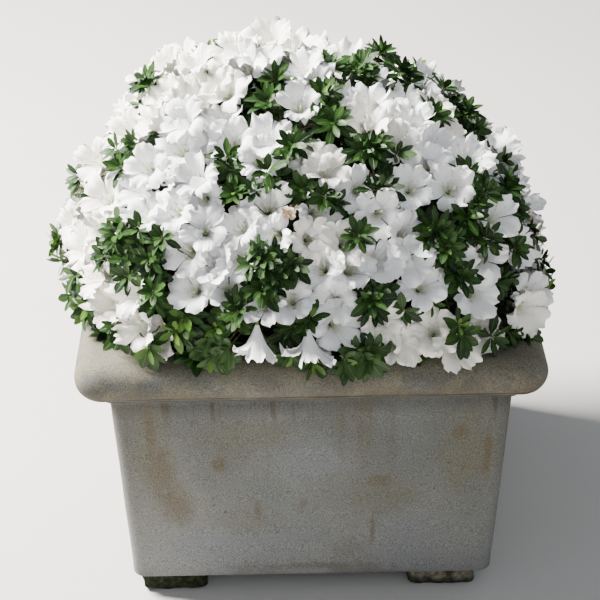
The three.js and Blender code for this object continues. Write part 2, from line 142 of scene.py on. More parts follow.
# Rosettes of leaves that show from the front: azimuth, elevation, how far the rosette turns to the front
FRONT_ROSETTES = (
    (203, 38, 0.4), (210, 36, 0.4), (209, 42, 0.3), (191, 26, 0.1), (193, 53, 0), (249, 70, 0.5),
    (251, 62, 0.5), (252, 78, 0.2), (264, 51, 0.7), (269, 59, 0.5), (243, 47, 0.4), (257, 45, 0.5),
    (248, 40, 0.6), (254, 41, 0.5), (268, 42, 0.8), (222, 24, 0.6), (228, 27, 0.5), (234, 27, 0.5),
    (220, 19, 0.4), (226, 20, 0.7), (232, 22, 0.7), (233, 19, 0.6), (228, 17, 0.6), (235, 16, 0.6),
    (187, 5, 0), (197, 7, 0.1), (209, 10, 0.2), (207, 2, 0.1), (215, 2, 0.3), (235, 2, 0.5),
    (228, 3, 0.4), (242, 12, 0.7), (240, 8, 0.7), (244, 9, 0.8), (242, 4, 0.6), (245, 1, 0.5),
    (248, 7, 0.8), (253, 11, 0.7), (252, 5, 0.6), (248, 1, 0.5), (254, 15, 0.6), (258, 1, 0.5),
    (259, 20, 0.5), (245, 23, 0.3), (291, 75, 0.3), (329, 74, 0.5), (23, 68, 0.1), (351, 65, 0.2),
    (358, 53, 0.2), (328, 53, 0.4), (352, 46, 0.1), (347, 42, 0.1), (276, 64, 0.5), (280, 57, 0.7),
    (291, 49, 0.8), (299, 47, 0.4), (320, 43, 0.4), (316, 37, 0.5), (310, 35, 0.6), (310, 31, 0.6),
    (317, 32, 0.3), (310, 29, 0.5), (327, 30, 0.1), (328, 25, 0.1), (271, 42, 0.7), (291, 40, 0.5),
    (296, 35, 0.8), (301, 29, 0.5), (302, 25, 0.5), (312, 24, 0.4), (321, 24, 0.2), (320, 19, 0.2),
    (340, 13, 0), (344, 0, 0), (346, -5, 0), (282, 31, 0.3), (304, 18, 0.6), (283, 17, 0.7),
    (291, 13, 0.6), (303, 9, 0.7), (302, 5, 0.7), (311, 4, 0.5), (310, 1, 0.4), (315, 0, 0.3),
    (278, 6, 0.7), (282, 7, 0.8), (282, 2, 0.5), (277, 2, 0.5), (269, 11, 0.6), (265, 7, 0.6),
    (271, 5, 0.6), (322, 3, 0.3), (333, 1, 0.2), (320, -3, 0.3), (262, 26, 0.9), (265.5, 25.5, 0.9),
    (259, 26, 0.8), (262, 23, 0.8), (274, 40, 0.7), (250, 13, 0.6),
)
# Two blooms that hang mouth down over the rim: foot, mouth, size and how far they are open
HANGING_BLOOMS = (
    ((-0.062, -0.286, 0.434), (-0.064, -0.297, 0.401), 0.98, 0.25),
    ((-0.005, -0.286, 0.428), (-0.004, -0.297, 0.395), 1.03, 0.6),
)
# Withered petals: azimuth and elevation
WITHERED_PLACES = (
    (264, 36), (341, 18), (345, 12), (350, 7), (30, 40), (75, 25), (120, 62), (160, 20), (100, 10),
)

# Azimuth and elevation of the viewer
VIEWER = (269.0, 30.0)

# Wild blooms: directions tried, sine of the lowest elevation, cosine from the viewer at which the front ends,
# and the wavelength of a ripple over the directions and its level under which no bloom grows
DIRECTIONS_TRIED = 4200
LOWEST_BLOOM = -0.02
FRONT_FIELD = 0.3
DRIFT_WAVE = 0.17
DRIFT_GAP = -0.56
# How far blooms stray from their axes, and distances in metres. Wild blooms keep apart from each other and
# from the front's. Tucked ones stand where blooms are crowded, clear of those and of the front's rosettes.
BLOOM_STRAY = 0.3
WILD_SPACING = 0.041
WILD_FROM_FRONT = 0.04
TUCKED_STRAY = 0.6
TUCKED_SPACING = 0.032
TUCKED_FROM_BLOOMS = 0.023
TUCKED_FROM_LEAVES = 0.04
CROWDED = 0.046
# How far the crown's right side is drawn in, and how far a bloom's mouth stands over its foot
RIGHT_DRAW = 0.009
MOUTH_RISE = 0.028
# Layers of rosettes on and below the crown's skin: share of the crown's radius, how far apart they stand, how
# far from bloom mouths and front rosettes, leaves in each, stray, youth, spread, sine of the lowest elevation
ROSETTE_LAYERS = (
    (0.955, 0.029, 0.029, 14, 0.3, 0.35, 1.0, -0.03),
    (0.875, 0.03, 0.018, 10, 0.5, 0.1, 1.1, -0.03),
    (0.8, 0.035, 0.0, 9, 0.6, 0.0, 1.15, -0.02),
    (0.7, 0.045, 0.0, 9, 0.8, 0.0, 1.2, 0.0),
)
LAYER_TRIED = 5000
# Front rosettes under this elevation have fewer and larger leaves
LOW_ROSETTE = 14
# Twigs: how far apart the heads of the main ones lie, and the radii at both ends
MAIN_TWIG_SPACING = 0.075
MAIN_TWIG_RADII = (0.0026, 0.0012)
FINE_TWIG_RADII = (0.0014, 0.0008)

# Youth from which a leaf is a grown or a fresh one
GROWN_FROM = 0.14
FRESH_FROM = 0.62
# A front rosette keeps its leaves where more than this share of them has room
ROOM_FOR_LEAVES = 0.55
# Height at which leaves begin to droop over the rim, and the drop over which they droop fully
DROOP_FROM = 0.445
DROOP_OVER = 0.06

# Stage, in metres, degrees, pixels, millimetres and watts
CAMERA_PLACE = Vector((-0.04, -2.037, 1.475))
CAMERA_PITCH, CAMERA_YAW, CAMERA_ROLL = np.radians([30.0, -0.87, -0.53])
FOCAL_PIXELS = 1805.0
IMAGE_PIXELS = 600.0
SENSOR_MM = 36.0
FLOOR_HALF = 9.0
SKY_COLOUR = (0.88, 0.93, 1.0, 1)
SKY_STRENGTH = 0.455
LIGHT_TARGET = (0.0, 0.0, 0.42)
# Lights: name, place, width, power and colour
LIGHTS = (
    ("key", (-2.3, 0.7, 2.8), 1.3, 1050, (1.0, 0.97, 0.93)),
    ("fill", (0.6, -3.0, 2.0), 2.2, 20, (0.92, 0.96, 1.0)),
)

SIDEWAYS = np.array([1.0, 0.0, 0.0])
UPWARD = np.array([0.0, 0.0, 1.0])
GOLDEN_ANGLE = np.pi * (3 - np.sqrt(5))


def settings():
    """The sizes and colours that the panel shows."""
    return bpy.context.scene.azalea_settings


# What all colours and all lengths of the settings have in common
COLOUR = {"subtype": "COLOR", "size": 3, "min": 0, "max": 1}
LENGTH = {"subtype": "DISTANCE", "unit": "LENGTH"}


class AzaleaSettings(bpy.types.PropertyGroup):
    """Sizes and colours of the potted azalea."""

    concrete_colour: FloatVectorProperty(
        name="Concrete", description="Plain colour of the cast concrete",
        default=(0.147, 0.150, 0.1445), **COLOUR,
    )
    rust_colour: FloatVectorProperty(
        name="Rust stain", description="Colour of the stains that run down the planter",
        default=(0.08, 0.062, 0.037), **COLOUR,
    )
    moss_colour: FloatVectorProperty(
        name="Moss", description="Colour of the moss on the feet",
        default=(0.014, 0.017, 0.008), **COLOUR,
    )
    soil_colour: FloatVectorProperty(
        name="Soil", description="Colour of the moist soil",
        default=(0.035, 0.024, 0.015), **COLOUR,
    )
    bark_colour: FloatVectorProperty(
        name="Bark", description="Colour of the bark",
        default=(0.16, 0.11, 0.075), **COLOUR,
    )
    petal_colour: FloatVectorProperty(
        name="Petals", description="Colour of the petals",
        default=(0.955, 0.935, 0.86), **COLOUR,
    )
    dark_leaf_colour: FloatVectorProperty(
        name="Old leaves", description="Colour of the old leaves",
        default=(0.009, 0.027, 0.006), **COLOUR,
    )
    middle_leaf_colour: FloatVectorProperty(
        name="Leaves", description="Colour of most leaves",
        default=(0.021, 0.056, 0.01), **COLOUR,
    )
    fresh_leaf_colour: FloatVectorProperty(
        name="Fresh leaves", description="Colour of the youngest leaves",
        default=(0.068, 0.145, 0.02), **COLOUR,
    )
    floor_colour: FloatVectorProperty(
        name="Floor", description="Colour of the floor",
        default=(0.56, 0.545, 0.52), **COLOUR,
    )
    bloom_width: FloatProperty(
        name="Bloom width", description="Width of an open bloom",
        min=0.04, max=0.08, default=0.062, **LENGTH,
    )
    leaf_length: FloatProperty(
        name="Leaf length", description="Length of a grown leaf",
        min=0.015, max=0.05, default=0.0265, **LENGTH,
    )
    leaf_width: FloatProperty(
        name="Leaf width", description="Width of a grown leaf",
        min=0.005, max=0.02, default=0.0101, **LENGTH,
    )
    cast_relief: FloatProperty(
        name="Cast relief", description="How far the cast faces stray from flat",
        min=0, max=0.003, default=0.0007, **LENGTH,
    )
    seed: IntProperty(name="Seed", description="Start of the random growth", min=0, default=7)


# Shapes

def unit(vectors):
    """Each vector divided by its length."""
    return vectors / np.maximum(np.linalg.norm(vectors, axis=-1, keepdims=True), 1e-12)


def direction(azimuth, elevation):
    """Unit vectors at these azimuths and elevations in degrees."""
    a, e = np.radians(azimuth), np.radians(elevation)
    return np.stack([np.cos(a) * np.cos(e), np.sin(a) * np.cos(e), np.sin(e) + 0 * a], -1)


def across(axes):
    """Two unit vectors across each axis, which with it make a right-handed frame."""
    steep = np.abs(axes[..., 2:]) > 0.9
    helper = np.where(steep, SIDEWAYS, UPWARD)
    u = unit(np.cross(helper, axes))
    return u, np.cross(axes, u)


def around(axes, turn):
    """Unit vectors across each axis, turned round it by these angles: u cos(turn) + v sin(turn)."""
    u, v = across(axes)
    return u * np.cos(turn)[:, None] + v * np.sin(turn)[:, None]


def ease(values, low, high):
    """0 below low, 1 above high, and a smooth rise between: 3t^2 - 2t^3."""
    t = np.clip((values - low) / (high - low), 0, 1)
    return t * t * (3 - 2 * t)


def ripple(points, wavelength, seed, octaves=3):
    """Smooth random relief about 0: the mean of six sine waves in random directions.

    Each further octave adds such waves half as long and half as high.
    """
    rng = np.random.default_rng(seed)
    total = np.zeros(points.shape[:-1])
    for octave in range(octaves):
        waves = unit(rng.normal(size=(6, 3))) * (2 * np.pi * 2**octave / wavelength)
        total += np.sin(points @ waves.T + rng.uniform(0, 2 * np.pi, 6)).mean(-1) / 2**octave
    return total


def ripple_vector(points, wavelength, seed, octaves=3):
    """Three ripples as one vector."""
    return np.stack([ripple(points, wavelength, seed + i, octaves) for i in range(3)], -1)


def grid_faces(rows, columns, closed):
    """Four-cornered faces of one grid of points. closed joins the last column to the first."""
    i, j = np.meshgrid(np.arange(rows - 1), np.arange(columns if closed else columns - 1), indexing="ij")
    k = (j + 1) % columns
    corners = [i * columns + j, i * columns + k, (i + 1) * columns + k, (i + 1) * columns + j]
    return np.stack(corners, -1).reshape(-1, 4)


def fan_faces(pole, ring, turned):
    """Three-cornered faces from a pole to a closed ring of points."""
    after = np.roll(ring, -1)
    pair = [after, ring] if turned else [ring, after]
    return np.stack([np.full(len(ring), pole), *pair], -1)


def repeated(faces, copies, size):
    """The faces of one shape of this many points, for each copy of it."""
    return (faces[None] + size * np.arange(copies)[:, None, None]).reshape(-1, faces.shape[1])


def skin_faces(count, sides):
    """Faces of a closed skin over rings: four-cornered ones between the rings and a fan at each end."""
    last = (count - 1) * sides + np.arange(sides)
    fans = [fan_faces(count * sides, np.arange(sides), True), fan_faces(count * sides + 1, last, False)]
    return [grid_faces(count, sides, True), np.concatenate(fans)]


def closed_rings(rings):
    """A closed skin over rings of points (K, S, 3), with a point in the middle of both end rings."""
    points = np.concatenate([rings.reshape(-1, 3), rings[0].mean(0)[None], rings[-1].mean(0)[None]])
    return points, skin_faces(*rings.shape[:2])


def tubes(paths, radii, sides):
    """Closed tapering tubes along many paths.

    paths is (N, K, 3), and radii (N, K) or (N, K, sides). Round each point of a path stands a ring of that
    radius, across the direction of the path there, and a point at each end closes the tube.
    """
    copies, steps = paths.shape[:2]
    tangents = unit(np.gradient(paths, axis=1))
    steep = np.abs(tangents[..., 2:]).min(1, keepdims=True) > 0.8
    helper = np.where(steep, SIDEWAYS, UPWARD)
    u = unit(np.cross(helper, tangents))
    v = np.cross(tangents, u)
    angles = 2 * np.pi * np.arange(sides) / sides
    outward = u[:, :, None] * np.cos(angles)[:, None] + v[:, :, None] * np.sin(angles)[:, None]
    radii = radii if radii.ndim == 3 else radii[:, :, None]
    rings = paths[:, :, None] + outward * radii[..., None]
    points = np.concatenate([rings.reshape(copies, -1, 3), paths[:, :1], paths[:, -1:]], 1)
    faces = [repeated(group, copies, points.shape[1]) for group in skin_faces(steps, sides)]
    return points.reshape(-1, 3), faces


def curve_points(controls, steps):
    """Points along cubic Bezier curves: controls is (N, 4, 3), the answer (N, steps, 3)."""
    t = np.linspace(0, 1, steps)
    weights = np.stack([(1 - t) ** 3, 3 * t * (1 - t) ** 2, 3 * t * t * (1 - t), t**3], -1)
    return np.einsum("kc,ncd->nkd", weights, controls)


def piece(name, shape, material, replaced=()):
    """Makes a mesh of points and faces into a piece of the object that rides on its one body.

    A shape may have a third part: where each point lies on its leaf or petal, kept as the UV map.
    """
    points, faces, *spread = shape
    mesh = bpy.data.meshes.new(name)
    corners = np.concatenate([group.ravel() for group in faces]).astype(np.int32)
    counts = np.concatenate([np.full(len(group), group.shape[1]) for group in faces])
    starts = np.concatenate([[0], np.cumsum(counts)[:-1]]).astype(np.int32)
    mesh.vertices.add(len(points))
    mesh.vertices.foreach_set("co", np.ascontiguousarray(points, np.float32).ravel())
    mesh.loops.add(len(corners))
    mesh.loops.foreach_set("vertex_index", corners)
    mesh.polygons.add(len(starts))
    mesh.polygons.foreach_set("loop_start", starts)
    mesh.polygons.foreach_set("use_smooth", np.ones(len(starts), bool))
    mesh.update(calc_edges=True)
    if mesh.validate():
        raise RuntimeError(f"the faces of {name} are broken")
    if spread:
        blade = mesh.uv_layers.new(name="blade")
        blade.uv.foreach_set("vector", spread[0][corners].astype(np.float32).ravel())
    mesh.materials.append(material)
    made = bpy.data.objects.new(name, mesh)
    bpy.context.collection.objects.link(made)
    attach(made, "root")
    if replaced:
        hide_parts(*replaced)
    return made


# Finishes

class Finish:
    """A material whose nodes read Object coordinates in metres."""

    def __init__(self, name, colour, roughness, specular):
        """A new material of this plain colour, roughness and sheen."""
        self.material = bpy.data.materials.new(name)
        self.material.use_nodes = True
        self.nodes = self.material.node_tree.nodes
        self.links = self.material.node_tree.links
        self.shader = self.nodes["Principled BSDF"]
        self.shader.inputs["Base Color"].default_value = (*colour, 1)
        self.shader.inputs["Roughness"].default_value = roughness
        self.shader.inputs["Specular IOR Level"].default_value = specular
        self.place = self.nodes.new("ShaderNodeTexCoord").outputs["Object"]

    def blade(self):
        """The two coordinates on a leaf or petal: from side to side and from foot to tip, both 0 to 1."""
        node = self.nodes.new("ShaderNodeSeparateXYZ")
        source = self.nodes.new("ShaderNodeUVMap")
        source.uv_map = "blade"
        self.links.new(source.outputs["UV"], node.inputs[0])
        return node.outputs["X"], node.outputs["Y"]

    def veins(self, side, along, count, slant):
        """Fine ridges that run from the middle line out to the edges and on towards the tip."""
        out = self.math("ABSOLUTE", self.math("SUBTRACT", side, 0.5), 0.0)
        place = self.math("SUBTRACT", self.product(along, count), self.product(out, slant))
        return self.math("SINE", self.product(place, 2 * np.pi), 0.0)

    def set(self, socket, value):
        """Puts a number or colour on a socket, or joins another socket to it."""
        if isinstance(value, bpy.types.NodeSocket):
            self.links.new(value, socket)
        elif isinstance(value, tuple) and len(value) == 3 and socket.type == "RGBA":
            socket.default_value = (*value, 1)
        else:
            socket.default_value = value

    def stretched(self, scale):
        """Object coordinates scaled by a different number on each axis."""
        node = self.nodes.new("ShaderNodeMapping")
        self.links.new(self.place, node.inputs["Vector"])
        node.inputs["Scale"].default_value = scale
        return node.outputs["Vector"]

    def noise(self, scale, detail=3.0, place=None, roughness=0.55):
        """Soft cloudy noise, this many cycles to the metre."""
        node = self.nodes.new("ShaderNodeTexNoise")
        self.links.new(place or self.place, node.inputs["Vector"])
        node.inputs["Scale"].default_value = scale
        node.inputs["Detail"].default_value = detail
        node.inputs["Roughness"].default_value = roughness
        return node.outputs["Fac"]

    def grains(self, scale):
        """Distance from the middle of the nearest grain, with this many grains to the metre."""
        node = self.nodes.new("ShaderNodeTexVoronoi")
        self.links.new(self.place, node.inputs["Vector"])
        node.inputs["Scale"].default_value = scale
        return node.outputs["Distance"]

    def height(self):
        """Height above the ground."""
        node = self.nodes.new("ShaderNodeSeparateXYZ")
        self.links.new(self.place, node.inputs[0])
        return node.outputs["Z"]

    def span(self, value, low, high, out_low=0.0, out_high=1.0):
        """A value carried from one span to another, with smooth ends."""
        node = self.nodes.new("ShaderNodeMapRange")
        node.interpolation_type = "SMOOTHSTEP"
        for socket, number in zip(node.inputs[1:5], (low, high, out_low, out_high)):
            socket.default_value = number
        self.links.new(value, node.inputs["Value"])
        return node.outputs["Result"]

    def math(self, operation, a, b):
        """One of Blender's sums of two values."""
        node = self.nodes.new("ShaderNodeMath")
        node.operation = operation
        self.set(node.inputs[0], a)
        self.set(node.inputs[1], b)
        return node.outputs[0]

    def spot(self, centre, size, ragged):
        """1 in the middle of an oval spot, down to 0 at its edge, which a noise makes ragged."""
        place = self.stretched(tuple(1 / half for half in size))
        place.node.inputs["Location"].default_value = tuple(-c / half for c, half in zip(centre, size))
        node = self.nodes.new("ShaderNodeVectorMath")
        node.operation = "LENGTH"
        self.links.new(place, node.inputs[0])
        far = self.math("ADD", node.outputs["Value"], self.product(ragged, 1.1))
        return self.span(far, 1.6, 0.75)

    def product(self, a, b):
        """Two values multiplied."""
        return self.math("MULTIPLY", a, b)

    def laid(self, mask, strength, body, tone):
        """Colour body with the tone laid over it where the mask is 1, at this strength."""
        return self.mixed(self.product(mask, strength), body, tone)

    def mixed(self, share, a, b, blend="MIX"):
        """Colour a with this share of colour b laid over it."""
        node = self.nodes.new("ShaderNodeMix")
        node.data_type = "RGBA"
        node.blend_type = blend
        self.set(node.inputs["Factor"], share)
        self.set(node.inputs[6], a)
        self.set(node.inputs[7], b)
        return node.outputs[2]

    def colour(self, value):
        """Joins a colour to the surface."""
        self.links.new(value, self.shader.inputs["Base Color"])

    def relief(self, value, depth, strength=1.0):
        """Bumps of this depth in metres, over any relief that is there already."""
        node = self.nodes.new("ShaderNodeBump")
        node.inputs["Strength"].default_value = strength
        node.inputs["Distance"].default_value = depth
        self.links.new(value, node.inputs["Height"])
        normal = self.shader.inputs["Normal"]
        if normal.is_linked:
            self.links.new(normal.links[0].from_socket, node.inputs["Normal"])
        self.links.new(node.outputs["Normal"], normal)


def shade(colour, factor):
    """A colour made lighter or darker."""
    return tuple(min(1.0, channel * factor) for channel in colour)


def toned(colour, red, green, blue):
    """A colour with each channel multiplied by its own number."""
    return (colour[0] * red, colour[1] * green, colour[2] * blue)


# Colours of small things, and how high the moss reaches on the black feet and on the worn one, in metres
MIDRIB = (0.13, 0.22, 0.06)
LICHEN = (0.23, 0.235, 0.19)
GRIT = (0.3, 0.27, 0.22)
BLACK_FOOT = (0.03, 0.03, 0.022)
WORN_FOOT = (0.17, 0.15, 0.115)
MOSS_HIGH = 0.05
MOSS_LOW = 0.009

# Marks on the planter's front, each with its middle, half sizes and strength. Two of the stains are painted
# shade on the rim.
STAINS_AND_RIM_SHADE = (
    ((-0.168, -0.233, 0.145), (0.028, 0.03, 0.045), 0.55),
    ((-0.183, -0.236, 0.196), (0.024, 0.03, 0.05), 0.46),
    ((-0.194, -0.239, 0.262), (0.009, 0.03, 0.05), 0.6),
    ((-0.114, -0.236, 0.206), (0.014, 0.03, 0.017), 0.65),
    ((0.083, -0.235, 0.178), (0.022, 0.03, 0.013), 0.5),
    ((0.180, -0.238, 0.252), (0.014, 0.03, 0.017), 0.75),
    ((0.214, -0.236, 0.222), (0.008, 0.03, 0.055), 0.7),
    ((0.2375, -0.230, 0.250), (0.004, 0.03, 0.07), 0.7),
    ((-0.067, -0.233, 0.137), (0.007, 0.03, 0.02), 0.5),
    ((-0.010, -0.233, 0.141), (0.006, 0.03, 0.012), 0.45),
    ((0.075, -0.232, 0.100), (0.005, 0.03, 0.034), 0.6),
    # These two are painted shade: they darken the rim's front across its middle and right, where the crown's
    # shadow falls.
    ((0.020, -0.270, 0.342), (0.100, 0.04, 0.032), 0.3),
    ((0.205, -0.270, 0.342), (0.090, 0.04, 0.032), 0.3),
    ((-0.010, -0.228, 0.042), (0.11, 0.03, 0.007), 0.4),
)
OLIVE_PATCHES = (
    ((0.188, -0.237, 0.215), (0.055, 0.06, 0.095), 0.75),
    ((0.085, -0.234, 0.155), (0.06, 0.06, 0.05), 0.55),
    ((-0.196, -0.238, 0.230), (0.04, 0.06, 0.09), 0.6),
    ((-0.080, -0.235, 0.250), (0.08, 0.06, 0.035), 0.5),
    ((-0.080, -0.232, 0.120), (0.055, 0.06, 0.04), 0.4),
)
BLUISH_PATCHES = (
    ((0.000, -0.237, 0.210), (0.065, 0.06, 0.06), 0.6),
    ((-0.140, -0.233, 0.085), (0.07, 0.06, 0.035), 0.6),
    ((0.120, -0.234, 0.105), (0.055, 0.06, 0.035), 0.5),
)
DARK_MARKS = (
    ((-0.121, -0.233, 0.143), (0.0035, 0.03, 0.002), 0.8),
    ((-0.107, -0.232, 0.132), (0.0025, 0.03, 0.0045), 0.85),
    ((-0.043, -0.231, 0.098), (0.0035, 0.03, 0.0025), 0.7),
    ((0.150, -0.233, 0.163), (0.002, 0.03, 0.003), 0.8),
    ((0.167, -0.235, 0.203), (0.0035, 0.03, 0.0018), 0.8),
)


def cloudy_body(f, height, stone):
    """Cloudy tones over the whole casting, with painted shade that darkens it towards the rim and most of all
    just under it, and painted light that makes it paler at the bottom.
    """
    clouds = f.span(f.noise(7, 4), 0.35, 0.65)
    body = f.mixed(clouds, toned(stone, 0.88, 0.91, 0.96), toned(stone, 1.06, 1.04, 1.0))
    # Painted shade of the rim: the body darkens towards the top, in soft patches.
    painted_rim_shade = f.product(f.span(height, 0.08, 0.25), f.span(f.noise(11, 3), 0.3, 0.6, 0.5, 1.0))
    body = f.laid(painted_rim_shade, 0.8, body, toned(stone, 0.6, 0.6, 0.57))
    # Painted light: the body turns paler and bluer towards the bottom.
    painted_bottom_light = f.product(f.span(height, 0.12, 0.05), f.span(f.noise(9, 3), 0.3, 0.6, 0.4, 1.0))
    body = f.laid(painted_bottom_light, 0.6, body, toned(stone, 1.22, 1.24, 1.32))
    # Painted shade just under the rim: a dark band at the top of the body.
    painted_rim_shade = f.product(f.span(height, 0.27, 0.302), f.span(f.noise(15, 3), 0.3, 0.6, 0.75, 1.0))
    return f.laid(painted_rim_shade, 0.9, body, toned(stone, 0.36, 0.36, 0.35))


def tan_rim(f, height, body, stone, rust):
    """The rim's own tones: sandy and bluish clouds, a tan top, dark mottling and rust on its lower half."""
    on_rim = f.span(height, RIM_BOTTOM, RIM_BOTTOM + 0.008)
    rim = f.product(on_rim, f.span(f.noise(13, 4), 0.3, 0.7, 0.55, 1.0))
    body = f.mixed(rim, body, toned(stone, 0.8, 0.77, 0.68))
    sandy = f.product(on_rim, f.span(f.noise(26, 4), 0.46, 0.6))
    body = f.laid(sandy, 0.7, body, toned(stone, 1.12, 1.02, 0.76))
    bluish = f.product(on_rim, f.span(f.noise(31, 4, f.stretched((1, 1.3, 1))), 0.52, 0.64))
    body = f.laid(bluish, 0.55, body, toned(stone, 0.82, 0.86, 0.92))
    body = f.laid(f.span(height, 0.35, 0.364), 0.8, body, toned(stone, 1.0, 0.9, 0.68))
    mottled = f.product(on_rim, f.span(f.noise(150, 4, roughness=0.7), 0.48, 0.66))
    body = f.laid(mottled, 0.4, body, shade(stone, 0.6))
    low_rim = f.product(f.span(height, 0.352, 0.324), f.span(height, 0.316, 0.318))
    low_rim = f.product(low_rim, f.span(f.noise(1, 4, f.stretched((16, 16, 60))), 0.38, 0.62, 0.3, 1.0))
    return f.laid(low_rim, 0.7, body, shade(rust, 0.85))


def rust_runs(f, height, body, rust):
    """Rust that runs down from under the rim: thin short runs and wide long ones."""
    below_rim = f.span(height, NECK_BOTTOM + 0.007, NECK_BOTTOM)
    thin = f.span(f.noise(1, 2, f.stretched((85, 85, 4))), 0.54, 0.68)
    thin = f.product(thin, f.span(f.noise(14, 3), 0.38, 0.56))
    short = f.product(f.span(height, 0.245, 0.3), below_rim)
    body = f.laid(f.product(thin, short), 0.62, body, shade(rust, 0.52))
    long = f.product(f.span(f.noise(1, 4, f.stretched((24, 24, 2))), 0.55, 0.68), f.span(height, 0.12, 0.3))
    return f.laid(f.product(long, below_rim), 0.35, body, rust)


def front_marks(f, body, stone, rust):
    """The stains, patches, dark marks and painted shade on the rim that have their own places on the front.
    """
    ragged = f.noise(45, 3)
    marks = (
        (BLUISH_PATCHES, toned(stone, 0.97, 1.02, 1.15)),
        (OLIVE_PATCHES, toned(stone, 0.74, 0.69, 0.54)),
        # Rust stains, and painted shade on the rim in the same tone
        (STAINS_AND_RIM_SHADE, shade(rust, 1.15)),
        (DARK_MARKS, shade(stone, 0.3)),
    )
    for spots, tone in marks:
        for centre, size, strength in spots:
            body = f.laid(f.spot(centre, size, ragged), strength, body, tone)
    return body


def concrete_finish():
    """Speckled cast concrete with cloudy tones, a tan rim and rust that runs down from under it, with painted
    shade under the rim and across its right half, and painted light at the bottom.
    """
    look = settings()
    stone = tuple(look.concrete_colour)
    rust = tuple(look.rust_colour)
    f = Finish("cast_concrete", stone, 0.9, 0.3)
    height = f.height()
    body = cloudy_body(f, height, stone)
    body = tan_rim(f, height, body, stone, rust)
    body = rust_runs(f, height, body, rust)
    body = front_marks(f, body, stone, rust)
    body = f.laid(f.span(f.noise(12, 3), 0.62, 0.74), 0.25, body, shade(rust, 1.2))
    # A dark line low on the roll's front, above where it meets the neck: brown dirt with painted shade. The
    # same line is cut in as a shallow groove.
    dirt_and_shade_line = f.product(f.span(height, 0.3225, 0.3245), f.span(height, 0.3285, 0.3265))
    body = f.mixed(f.product(dirt_and_shade_line, f.span(f.noise(20, 3), 0.3, 0.6, 0.35, 0.85)), body, shade(rust, 0.35))
    foot_dirt = f.product(f.span(height, 0.05, 0.028), f.span(f.noise(24, 4), 0.45, 0.65))
    body = f.laid(foot_dirt, 0.35, body, rust)
    sand = f.span(f.noise(700, 3, roughness=0.8), 0.33, 0.67)
    body = f.mixed(1.0, body, f.mixed(sand, (0.56, 0.565, 0.57), (1.46, 1.45, 1.42)), "MULTIPLY")
    chips = f.product(f.span(f.grains(120), 0.13, 0.08), f.span(f.noise(50, 1), 0.6, 0.68))
    f.colour(f.laid(chips, 0.7, body, shade(stone, 0.35)))
    f.relief(dirt_and_shade_line, -0.002, 0.6)
    f.relief(sand, 0.0005, 0.4)
    f.relief(chips, -0.0006, 0.7)
    f.relief(f.noise(30, 3), 0.0012, 0.35)
    return f.material


def mossy_finish(name, stone, moss_level):
    """Old concrete under dark moss. moss_level says how high the moss reaches, in metres."""
    moss = tuple(settings().moss_colour)
    f = Finish(name, stone, 0.95, 0.2)
    grain = f.mixed(f.span(f.noise(220, 3), 0.3, 0.7), shade(stone, 0.6), shade(stone, 1.35))
    patches = f.noise(55, 4)
    low = f.span(f.height(), moss_level + 0.006, moss_level - 0.006)
    bed = f.mixed(f.span(f.noise(160, 2), 0.35, 0.65), shade(moss, 0.45), shade(moss, 1.8))
    body = f.mixed(f.span(patches, 0.5, 0.62, 0.0, 0.8), grain, bed)
    body = f.mixed(f.product(low, f.span(patches, 0.3, 0.42)), body, bed)
    f.colour(body)
    f.relief(f.noise(240, 4, roughness=0.7), 0.003, 0.8)
    f.relief(f.grains(120), 0.002, 0.5)
    return f.material


def soil_finish():
    """Moist crumbly soil with pale grit."""
    soil = tuple(settings().soil_colour)
    f = Finish("moist_soil", soil, 0.95, 0.2)
    body = f.mixed(f.span(f.noise(90, 4), 0.3, 0.7), shade(soil, 0.5), shade(soil, 1.8))
    body = f.mixed(f.span(f.grains(150), 0.14, 0.08), body, GRIT)
    f.colour(body)
    f.relief(f.noise(140, 4, roughness=0.7), 0.004, 0.8)
    return f.material


@functools.lru_cache(maxsize=None)
def bark_finish():
    """Grey-brown bark with long cracks and a few lichen patches."""
    bark = tuple(settings().bark_colour)
    f = Finish("bark", bark, 0.85, 0.25)
    fibres = f.noise(1, 4, f.stretched((240, 240, 45)))
    body = f.mixed(f.span(fibres, 0.35, 0.65), shade(bark, 0.5), shade(bark, 1.45))
    body = f.mixed(f.span(f.noise(38, 3), 0.58, 0.7, 0.0, 0.5), body, LICHEN)
    f.colour(body)
    f.relief(fibres, 0.0015, 0.8)
    return f.material


def twig_finish():
    """Thin brown bark of the young twigs."""
    bark = shade(tuple(settings().bark_colour), 0.75)
    f = Finish("twig_bark", bark, 0.75, 0.3)
    f.colour(f.mixed(f.span(f.noise(160, 2), 0.35, 0.65), shade(bark, 0.7), toned(bark, 1.1, 1.4, 1.0)))
    f.relief(f.noise(500, 2), 0.0003, 0.6)
    return f.material


def leaf_finish(name, colour, roughness):
    """A glossy leaf with a pale midrib, faint slanting veins and a colour that wanders a little."""
    colour = tuple(colour)
    f = Finish(name, colour, roughness, 0.2)
    side, along = f.blade()
    body = f.mixed(f.span(f.noise(55, 2), 0.3, 0.7), shade(colour, 0.72), shade(colour, 1.3))
    middle = f.product(f.span(side, 0.44, 0.49), f.span(side, 0.56, 0.51))
    body = f.mixed(f.product(middle, f.span(along, 1.0, 0.6, 0.1, 0.4)), body, MIDRIB)
    f.colour(body)
    f.relief(f.veins(side, along, 7, 5), 0.0003, 0.14)
    f.relief(middle, -0.0006, 0.5)
    return f.material


